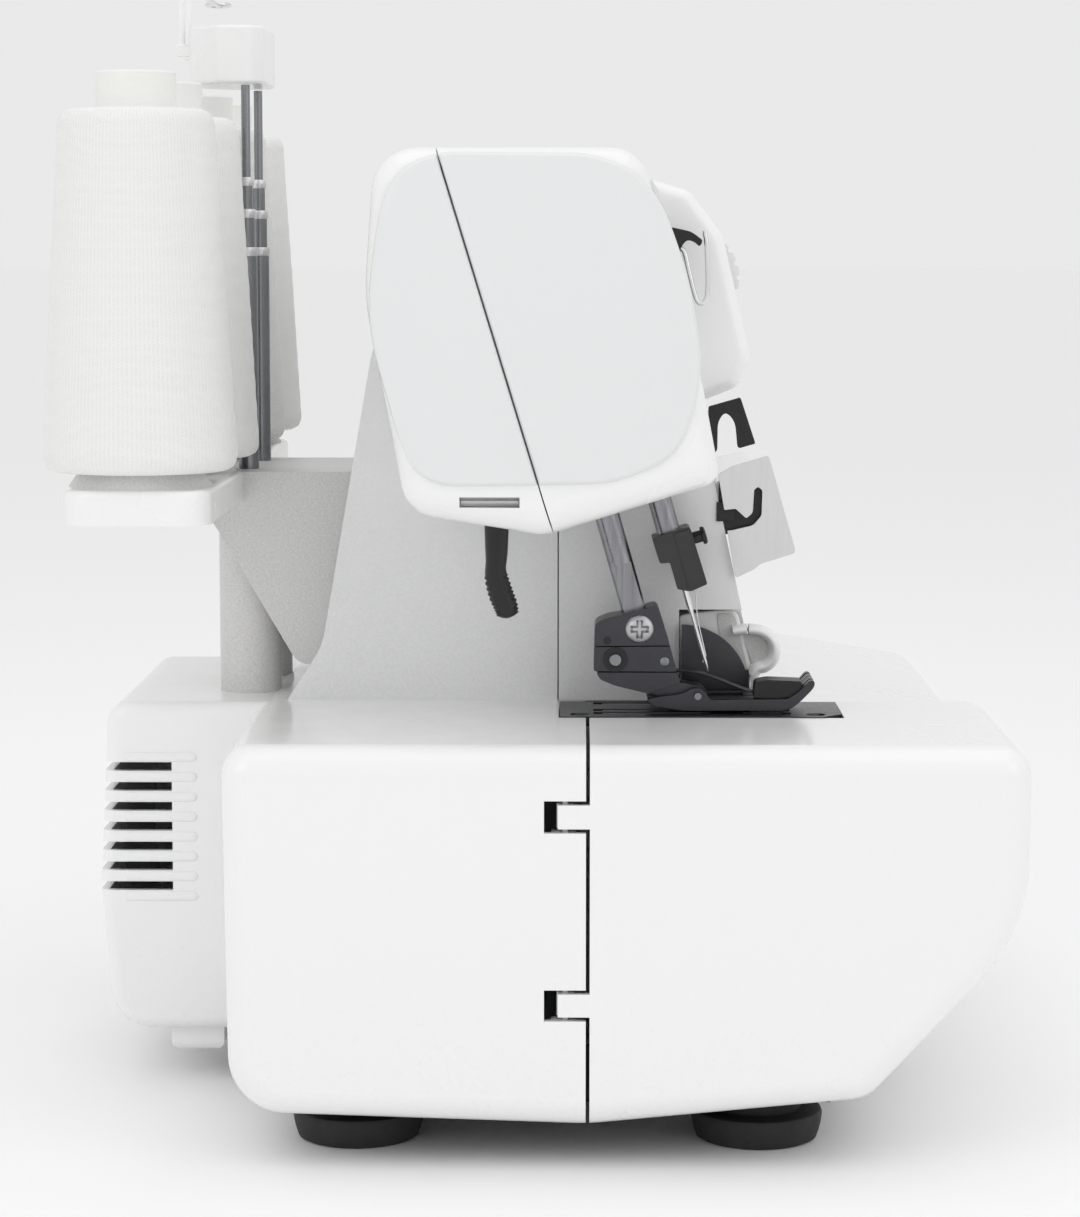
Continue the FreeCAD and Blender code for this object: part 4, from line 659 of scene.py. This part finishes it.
def addNeedleParts():
    # Sizes are (behind, up) along the leaning bar, from the place where the bar leaves the head.
    n, origin = needleSet, lean["needle"]
    half = n["clampHalf"]
    clamp = leaned(slab(eased(n["clamp"], 4), -half, half), origin)
    face = leaned(slab(n["face"], -half - 0.5, half + 0.5), origin)
    addPiece("clampBody", joined(clamp, face), looks["clamp_grey"], "needle_bar",
             ["needle_clamp"], bevel=0.5)
    screws = []
    for across in n["screws"]:
        stem, sides = turned(n["screw"], (across, 0, 0), "Y", 24, 6, 0.12)
        screws.append(leaned((stem * [1, -1, 1] + n["screwSpot"], sides), origin))
    addPiece("clampScrews", joined(*screws), looks["lever_black"], "needle_bar")
    needles, threads = [], []
    point = n["point"]
    profile = [(0.05, point), (0.3, point + 1.2), (0.5, point + 3), (0.55, point + 6),
               (0.55, point + 18), (1.0, point + 21), (1.0, n["shank"])]
    for across in n["needles"]:
        needles.append(leaned(turned(profile, (across, 0, 0), count=20), origin))
        knots = [(across, -3.2, -25.2), (across, -1.4, -34), (across + 0.1, -0.75, -44),
                 (across, -0.5, point + 4.6), (across, 0.75, point + 3.0)]
        thread = swept(smoothPath(knots, 30), n["thread"], count=6, lift=(1, 0, 0))
        threads.append(leaned(thread, origin))
    addPiece("needlePair", joined(*needles), looks["bright_steel"], "needle_bar",
             ["needles"], sharp=60)
    addPiece("needleThreads", joined(*threads), looks["thread_wound"], "needle_bar",
             sharp=70)
    print("needle parts made")


# Presser ankle and foot

ankle = {
    "left": -97, "right": -83, "armX": (-94, -86),
    "upper": [(-17.4, 142.7, 0.4), (-40.2, 142.9, 0.4), (-36.7, 154.2, 1.0), (-35.6, 155.0, 0.8),
              (-27.0, 152.2, 2), (-21.5, 151.4, 2), (-17.6, 149.6, 1.4)],
    "lower": [(-17.2, 135.0, 0.8), (-42.3, 134.9, 0.6), (-40.2, 142.6, 0.4), (-17.4, 142.4, 0.4)],
    "slope": [(-18.0, 134.6, 0.6), (-19.2, 132.4, 1), (-23.5, 130.6, 2), (-28.4, 129.4, 2),
              (-33.5, 128.2, 1), (-37.5, 129.6, 1.5), (-43.6, 131.4, 1), (-42.2, 134.6, 0.5)],
    "arm": [(-34, 128.0), (-44, 125.3, 2), (-51, 125.4, 2), (-50.8, 129.8, 2.4), (-44, 131.2, 2),
            (-36, 131.6)],
    "screw": (-31.0, 147.9), "screwRadius": 4.3, "screwTall": 2.2,
    "pin": (-23.8, 138.6), "hole": (-21.3, 144.4), "rivet": (-38.6, 138.0), "footPin": (-48.6, 127.8),
    "spring": [(-40, 134.6), (-47.5, 134.2), (-53, 132.8), (-59, 130.4), (-65, 128.2), (-71, 127.4)],
    "springHalf": (2.6, 0.42),
}


def crossScrew(spot, radius, tall):
    # A domed head that looks along -X, with a cross sunk in it. At r from the middle its height is
    # tall * (sqrt(1 - 0.92 (r / radius)^2) - sqrt(0.08)), less a slot near either arm of the cross.
    rings, count = 26, 56
    h = np.linspace(0, 1, rings)[:, None]
    t = np.linspace(0, math.tau, count, endpoint=False)[None, :]
    spread = radius * (1 - h)
    rise = tall * np.sqrt(np.clip(1 - (spread / radius) ** 2 * 0.92, 0, 1)) - tall * math.sqrt(0.08)
    u, v = spread * np.cos(t + 0.5), spread * np.sin(t + 0.5)
    arm, length, deep = radius * 0.16, radius * 0.62, tall * 0.62
    near = np.minimum(np.abs(u), np.abs(v))
    reach = np.maximum(np.abs(u), np.abs(v)) < length
    rise = rise - np.clip(1.6 - near / arm, 0, 1) * reach * deep
    skirt = np.stack([u[:1] + 0 * t, v[:1] + 0 * t, rise[:1] * 0 - 0.8], -1)
    points = np.concatenate([skirt, np.stack([u, v, rise], -1)]).reshape(-1, 3)
    last = rings * count
    faces = gridFaces(rings + 1, count) + [list(range(count)), list(range(last, last + count))]
    return points[:, [2, 0, 1]] * [-1, 1, 1] + np.asarray(spot, float), faces


def addAnkle():
    a = ankle
    left, right = a["left"], a["right"]
    blocks = [slab(eased(a["upper"], 4), left, right),
              slab(eased(a["lower"], 4), left + 0.35, right),
              slab(eased(a["slope"], 4), left + 0.9, right - 0.5),
              slab(eased(a["arm"], 4), *a["armX"])]
    addPiece("ankleBlock", joined(*blocks), looks["gunmetal"], "presser_bar",
             ["foot_ankle"], bevel=0.45)
    screw = crossScrew((left - 0.2, *a["screw"]), a["screwRadius"], a["screwTall"])
    addPiece("ankleScrew", screw, looks["plain_steel"], "presser_bar", sharp=50)
    well = turned([(2.05, 0.5), (3.7, 0.5), (3.7, -0.35), (2.05, -0.35)], (left, *a["pin"]), "X",
                  40, hollow=True)
    hole = turned([(0.1, 0.3), (1.2, 0.3), (1.25, -0.12), (0.1, -0.12)], (left, *a["hole"]), "X", 24)
    addPiece("ankleWells", joined(well, hole), looks["lever_black"], "presser_bar")
    pin = turned([(0.1, 1.2), (1.95, 1.2), (1.95, -1.0), (1.7, -1.35), (0.1, -1.45)],
                 (left, *a["pin"]), "X", 32)
    rivet = turned([(0.1, 0.8), (1.35, 0.8), (1.35, -0.25), (1.0, -0.5), (0.1, -0.55)],
                   (left + 0.3, *a["rivet"]), "X", 28)
    middle = (left + right) // 2
    cross = turned([(0.1, -9.6), (1.05, -9.6), (1.05, 9.6), (0.1, 9.6)],
                   (middle, *a["footPin"]), "X", 24)
    addPiece("anklePins", joined(pin, rivet, cross), looks["pole_chrome"], "presser_bar")
    # The leaf spring starts on the ankle and ends on the foot.
    leaf = swept(smoothPath([(middle, y, z) for y, z in a["spring"]], 40), *a["springHalf"], 12)
    spring = addPiece("footSpring", leaf, looks["lever_black"], None, sharp=60)
    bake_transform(spring)
    print("ankle made")


sole = {
    "left": -97, "right": -75, "slot": (-63.0, -52.0),
    "outline": [(-33.0, 126.2, 1), (-35.9, 124.4, 1), (-40.5, 123.65, 1.5), (-44.5, 123.05, 1.5),
                (-75.6, 123.1, 1.5),
                (-78.6, 124.9, 3), (-83.8, 130.2, 2), (-83.9, 132.2, 1), (-82.4, 132.4, 0.8),
                (-79.2, 128.8, 3), (-75.6, 126.6, 1), (-52.2, 126.3, 1), (-50.6, 129.4, 2.2),
                (-47.4, 130.2, 2.2), (-43.8, 128.0, 3), (-37.0, 127.4, 2)],
    "bridge": [(-64, 123.2), (-75.4, 123.2), (-75.4, 126.2), (-64, 126.2)],
    "heel": [(-34.5, 124.7), (-42, 123.5), (-42, 125.8), (-34.5, 126.2)],
    "knob": [(-65.6, 126.8, 0.6), (-65.9, 131.6, 1.2), (-69.6, 132.3, 1), (-80.0, 131.9, 0.8),
             (-80.2, 129.0, 1), (-77.2, 126.9, 1)],
}


def addFoot():
    # Runners side by side, tied by a bridge in front and a heel behind. The low ones lack the raised
    # ears of the ankle's pin, and the one under the needles is parted by their slot.
    flat = eased(sole["outline"], 5)
    base = flat.copy()
    base[:, 1] = np.minimum(base[:, 1], np.where(base[:, 0] > -76, 126.3, 200))
    runners = [slab(base, -92.4, -86.4), slab(flat, sole["left"], -94.0)]
    for away in (sole["slot"][0] - flat[:, 0], flat[:, 0] - sole["slot"][1]):
        runners.append(slab(clipped(flat, away), -85.4, -80.2))
    runners.append(slab(base, -78.0, sole["right"]))
    bridge, heel = slab(sole["bridge"], -96, -76), slab(sole["heel"], -96.5, -77)
    addPiece("footSole", joined(*runners, bridge, heel), looks["gunmetal"], "presser_foot",
             ["presser_foot"], bevel=0.35)
    addPiece("footKnob", slab(eased(sole["knob"], 4), -95.5, -86.5), looks["lever_black"],
             "presser_foot", bevel=0.5)
    print("foot made")


# Thread guides at the front of the head

headGuides = {
    "hook": [(-8, 257.5, 3), (-8, 266, 3), (-20, 267, 2), (-40.9, 268.2, 1), (-46.8, 266.9, 1.4),
             (-50.4, 264.2, 0.8), (-49.4, 262.2, 0.8), (-47.7, 263.8, 1), (-45.4, 264.4, 1.2),
             (-43.6, 262.0, 1), (-43.2, 256.5, 1), (-20, 258, 2)],
    "hookX": (-72.9, -71.1), "hub": [(0.6, -1.6), (5.0, -1.6), (5.5, -1.2), (5.5, 1.4), (0.6, 1.4)],
    "pivot": (-72, -13, 262), "loopX": -71.6, "loopWire": 0.75,
    "loop": [(-50.9, 267.2), (-51.6, 262), (-51.9, 249), (-50.6, 245.4), (-48.6, 246.2), (-46.4, 254),
             (-44.6, 261), (-42.0, 262)],
    "arch": [(-52.4, 213.6, 0.5), (-62.2, 216.4, 0.6), (-66.9, 202.2, 0.6), (-61.4, 200.6, 1.2),
             (-60.6, 209.0, 2.4), (-57.6, 212.2, 2.4), (-55.3, 209.0, 2), (-55.2, 200.4, 0.6),
             (-53.6, 197.8, 0.6), (-52.0, 199.2, 0.6)],
    "strip": [(-61.9, 216.6), (-66.9, 202.1), (-66.2, 201.9), (-61.3, 216.2)],
    "root": [(-53.2, 206), (-48.5, 206), (-48.5, 212), (-53.2, 212)],
}


def addGuides():
    g = headGuides
    hook = joined(slab(eased(g["hook"], 4), *g["hookX"]), turned(g["hub"], g["pivot"], "X"))
    addPiece("takeUpHook", hook, looks["lever_black"], "take_up_lever", ["take_up_lever"],
             bevel=0.35)
    line = smoothPath([(g["loopX"], y, z) for y, z in g["loop"]], 60)
    addPiece("takeUpLoop", swept(line, g["loopWire"], count=12, lift=(1, 0, 0)),
             looks["bright_steel"], "take_up_lever", sharp=60)
    addPiece("archGuide", slab(eased(g["arch"], 5), -71, -69.8), looks["lever_black"], "machine",
             ["chrome_thread_guide"], bevel=0.3)
    edge = joined(slab(g["strip"], -70.8, -66.6), slab(g["root"], -70.9, -66))
    addPiece("archGuideEdge", edge, looks["bright_steel"], "machine", bevel=0.2)
    print("guides made")


# Feet

feet = {
    "places": ((-125, -65.6), (-125, 52.5), (108, -65.6), (108, 52.5)),
    "profile": [(0.5, 0.6), (15, 0.6), (15.6, 0), (16.8, 0), (17.9, 0.5), (18.5, 2.2), (18.9, 3.7),
                (19.2, 5.0), (19.4, 6.4), (19.45, 7.6), (19.1, 8.6), (18.2, 9.0), (13, 9.0),
                (13, 17.2), (0.5, 17.2)],
}


def addFeet():
    shapes = [turned(feet["profile"], (x, y, 0), count=72) for x, y in feet["places"]]
    addPiece("rubberFeet", joined(*shapes), looks["foot_rubber"], "machine",
             ["rubber_feet"], sharp=40)
    print("feet made")


# Head end cap: a raised panel split by the seam between the two arm covers

cap = {
    "x": -155.0, "proud": 1.7, "sunk": 0.5, "round": 1.6, "rings": 6, "seam": 0.24,
    "seamFoot": (-6.3, 179.0), "seamTop": (-6.3 + 67.4 * 111 / 221, 290.0),
    "outline": [(28.0, 288.6, 6), (42.0, 281.5, 16), (46.6, 249.0, 10), (45.6, 235.0, 10),
                (36.0, 201.0, 14), (27.0, 195.0, 6), (-21.5, 195.8, 6), (-41.0, 203.0, 16),
                (-47.8, 226.0, 10), (-43.7, 253.0, 10), (-34.5, 279.0, 16), (-18.5, 288.3, 8)],
}


def addHeadCap():
    # Rings that shrink inwards as they rise: inset = round * (1 - cos a), rise = (sunk + proud)
    # * sin a, so the panel's edge is a quarter round. The seam splits it along a slanting plane.
    flat = eased(cap["outline"], 9)
    along = np.subtract(cap["seamTop"], cap["seamFoot"])
    along /= np.hypot(*along)
    across = np.array([along[1], -along[0]])
    for name, sign in (("headCapRear", 1), ("headCapFront", -1)):
        away = (flat - cap["seamFoot"]) @ across * sign
        kept = clipped(flat, away - cap["seam"] / 2)
        inward = kept.mean(0) - kept
        inward /= np.hypot(*inward.T)[:, None]
        rings = []
        for a in np.linspace(0, math.pi / 2, cap["rings"]):
            x = cap["x"] + cap["sunk"] - (cap["sunk"] + cap["proud"]) * math.sin(a)
            edge = kept + inward * cap["round"] * (1 - math.cos(a))
            rings.append(np.column_stack([np.full(len(kept), x), edge]))
        count = len(kept)
        last = (cap["rings"] - 1) * count
        faces = gridFaces(cap["rings"], count)
        faces += [list(range(count)), list(range(last, last + count))]
        addPiece(name, (np.concatenate(rings), faces), looks["cap_white"], "machine",
                 sharp=50)
    print("head cap made")


# Thread guide plate, the black plate behind its slot that paints the shade seen through it, and the
# long lower guide

guidePlate = {
    "x": (-69.2, -67.6), "barX": (-61.5, 42.5), "hooks": (-44.0, -18.0, 8.0, 34.0),
    "outline": [(-60.1, 195.1, 1.0), (-71.1, 198.5, 1.0), (-79.8, 168.4, 1.4), (-68.9, 165.0, 1.0),
                (-66.9, 163.3, 0.4), (-61.1, 160.5, 1.0), (-58.5, 175.2, 0.3), (-60.2, 175.4, 0.3),
                (-66.4, 176.9, 0.8), (-69.0, 179.9, 0.9), (-69.2, 187.7, 0.5), (-67.9, 188.8, 0.5),
                (-66.7, 187.9, 0.5), (-66.3, 180.7, 0.9), (-64.3, 179.0, 0.6), (-61.0, 182.0, 0.5),
                (-57.5, 181.6, 0.3), (-55.6, 192.6, 0.8)],
    "shade": [(-56.4, 173.8), (-71.0, 174.6), (-71.6, 190.4), (-55.8, 190.6)],
    "bar": [(-55, 178.5, 1.5), (-55, 190, 1.5), (-69.6, 193.0, 2.4), (-72.4, 191.4, 2.0),
            (-75.4, 178.4, 2.4), (-72, 175.6, 2.0)],
    "barEnd": [(-56.6, 180.4, 1.0), (-73.0, 178.6, 1.6), (-70.8, 190.0, 1.4), (-56.6, 188.4, 1.0)],
    "arm": [(-61, 178), (-61, 184), (-55.2, 184), (-55.2, 178)],
    "hook": [(0, -72.0, 184.2), (0, -74.6, 184.6), (0.6, -75.6, 183.0), (1.4, -76.0, 180.6),
             (3.0, -76.0, 179.6), (4.2, -75.6, 181.0), (4.4, -75.0, 183.2)],
    "boss": [(0.2, -75.0), (2.0, -75.0), (2.0, -73.0), (0.2, -73.0)], "bossZ": 184.4,
}


def addGuidePlate():
    g, slotName = guidePlate, slotOf["thread_guide_plate"]
    low, high = g["x"]
    left, right = g["barX"]
    addPiece("guidePlate", slab(eased(g["outline"], 4), low, high), looks["guide_steel"], "machine",
             ["thread_guide_plate"], bevel=0.25)
    # a black plate behind the slot: painted shade seen through it
    shade = slab(eased([(*corner, 1.2) for corner in g["shade"]], 4), high + 1.0, high + 2.2)
    arm = slab(g["arm"], high - 0.2, left + 1)
    addPiece("guideShade", joined(shade, arm), looks["lever_black"], "machine", bevel=0.2)
    wall = slab(eased(g["bar"], 5), left, right)
    end = slab(eased(g["barEnd"], 4), left - 0.5, left + 0.6)
    addPiece("lowerGuide", joined(wall, end), looks["case_white"], "machine", bevel=0.8)
    hooks = []
    for x in g["hooks"]:
        line = smoothPath([(x + beside, y, z) for beside, y, z in g["hook"]], 40)
        hooks.append(swept(line, 0.6, count=10, lift=(1, 0, 0)))
        hooks.append(turned(g["boss"], (x, 0, g["bossZ"]), "Y", 20))
    addPiece("lowerGuideHooks", joined(*hooks), looks["bright_steel"], "machine", sharp=50)
    print("guide plate made")


# Finger guard: a white plate, a grey panel on its face that is painted shade of the knife opening,
# and the curled lip in front with a grey sheet inside its curl as painted shade

guard = {
    "x": (-62.0, -59.4), "lipX": (-66.0, -57.5),
    "plate": [(-44.0, 125.2), (-43.9, 148.2, 1.4), (-51.6, 149.5, 4), (-60.4, 150.2, 2.0),
              (-62.4, 148.2, 1.4), (-66.6, 131.2, 2), (-66.4, 125.2)],
    "inner": [(-58.8, 125.2), (-55.6, 148.6, 0.8), (-60.2, 149.0, 1.4), (-61.6, 147.6, 1.0),
              (-65.6, 131.0, 1.5), (-65.4, 125.2)],
    "lip": [(-60.6, 143.4), (-65.2, 143.8), (-69.6, 143.2), (-72.6, 141.0), (-73.8, 137.8),
            (-73.2, 134.6), (-71.0, 132.4), (-68.4, 131.6), (-66.6, 129.6)],
    "lipInner": [(-63.4, 142.4), (-69.0, 141.8), (-71.9, 139.6), (-72.3, 136.4), (-70.4, 133.6),
                 (-67.0, 132.6)],
}


def addGuard():
    # The lip is a flat strip swept along its curl, thicker at the free end.
    low, high = guard["x"]
    left, right = guard["lipX"]
    addPiece("guardPlate", slab(eased(guard["plate"], 6), low, high), looks["case_white"], "machine",
             ["finger_guard"], bevel=0.6)
    # grey panel: painted shade of the knife opening
    addPiece("guardShade", slab(eased(guard["inner"], 5), low - 0.35, low + 0.4),
             looks["stand_grey"], "machine", bevel=0.2)
    line = smoothPath([((left + right) / 2, y, z) for y, z in guard["lip"]], 60)
    thick = np.linspace(1.7, 2.2, 60)
    addPiece("guardLip", swept(line, (right - left) / 2, thick, 24, lift=(0, 1, 0)),
             looks["case_white"], "machine", sharp=70)
    # grey sheet inside the curl: painted shade in the hollow of the lip
    curlShade = slab(eased([(*spot, 1.0) for spot in guard["lipInner"]], 4), left + 4.4, left + 5.6)
    addPiece("guardLipShade", curlShade, looks["stand_grey"], "machine", bevel=0.2)
    print("guard made")


# Collars rolled into the mouth of each pole tube: the node, its mouth's height and its radius

poleCollars = {
    "rows": (("pole_base", 262.0, 3.2), ("pole_second", 274.0, 2.65), ("pole_third", 284.0, 2.1)),
    "xs": (-35.0, 5.0), "y": 92.5,
    "profile": [(-0.45, -2.6), (0.05, -2.6), (0.28, -2.2), (0.28, -0.5), (0.05, 0.15), (-0.45, 0.15)],
}


def addCollars():
    for node, top, radius in poleCollars["rows"]:
        profile = [(radius + out, top + up) for out, up in poleCollars["profile"]]
        rings = [turned(profile, (x, poleCollars["y"], 0), count=32, hollow=True)
                 for x in poleCollars["xs"]]
        rider = "machine" if node == "pole_base" else node
        addPiece("collar" + node[5:].title(), joined(*rings), looks["guide_steel"], rider,
                 sharp=40)
    print("collars made")


# Louvres of the motor cover: a fin above and below each slot

louvre = {"x": -67.0, "low": 58.3, "pitch": 6.3, "tall": 3.1, "front": 106.4, "rear": 129.0,
          "proud": 0.7, "count": 8, "rows": 40}


def addLouvres():
    # Each fin is a bar of elliptical section, half sunk in the wall. It grows from a round nose,
    # sqrt(1 - (1 - 12 v)^2), over the first twelfth of its length.
    rows = louvre["rows"]
    v = np.linspace(0, 1, rows)
    y = louvre["front"] + (louvre["rear"] - louvre["front"]) * v
    nose = np.sqrt(np.clip(1 - np.clip(1 - v * 12, 0, 1) ** 2, 0.02, 1))
    fins = []
    for step in range(louvre["count"]):
        middle = louvre["low"] + louvre["pitch"] * step + louvre["tall"] / 2
        line = np.column_stack([np.full(rows, louvre["x"] + 0.05), y, np.full(rows, middle)])
        fins.append(swept(line, louvre["tall"] / 2 * nose, louvre["proud"] * nose, 16,
                          lift=(1, 0, 0)))
    addPiece("ventLouvres", joined(*fins), looks["case_white"], "machine",
             sharp=60)
    print("louvres made")


# Screws in the motor cover's rear, and the scales beside the controls on the right end

fixings = {
    "rear": ((-52, 136.6, 48), (34, 136.6, 48)), "radius": 3.4, "tall": 1.5,
    "dial": ((66.0, 96.0), 16.5, 2.3, 9), "feed": ((66.0, 52.0), 27.0, 0.36, 5),
    "wide": 0.7, "long": 3.8, "short": 2.6, "face": (146.9, 147.25),
}


def facingRear(shape):
    # A screw made along -X, turned to look along +Y.
    points, faces = shape
    return points[:, [1, 0, 2]] * [1, -1, 1], faces


def addFixings():
    # A scale is a fan of long and short marks: middle (y, z), inner radius, half spread in radians
    # and number of marks.
    f = fixings
    screws = []
    for spot in f["rear"]:
        points, faces = facingRear(crossScrew((0, 0, 0), f["radius"], f["tall"]))
        screws.append((points + spot, faces))
    addPiece("coverScrews", joined(*screws), looks["plain_steel"], "machine",
             sharp=50)
    marks = []
    for middle, reach, spread, number in (f["dial"], f["feed"]):
        for step, turn in enumerate(np.linspace(-spread, spread, number)):
            out = np.array([math.sin(turn), math.cos(turn)])
            beside = np.array([out[1], -out[0]]) * f["wide"] / 2
            inner, outer = out * reach, out * (reach + f["short" if step % 2 else "long"])
            corner = np.array([inner - beside, outer - beside, outer + beside, inner + beside])
            marks.append(slab(corner + middle, *f["face"]))
    addPiece("scaleMarks", joined(*marks), looks["lever_black"], "machine")
    print("fixings made")


addCones()
addGuidePlate()
addGuard()
addCollars()
addLouvres()
addFixings()
addGuideHead()
addLifter()
addNeedleParts()
addAnkle()
addFoot()
addGuides()
addFeet()
addHeadCap()
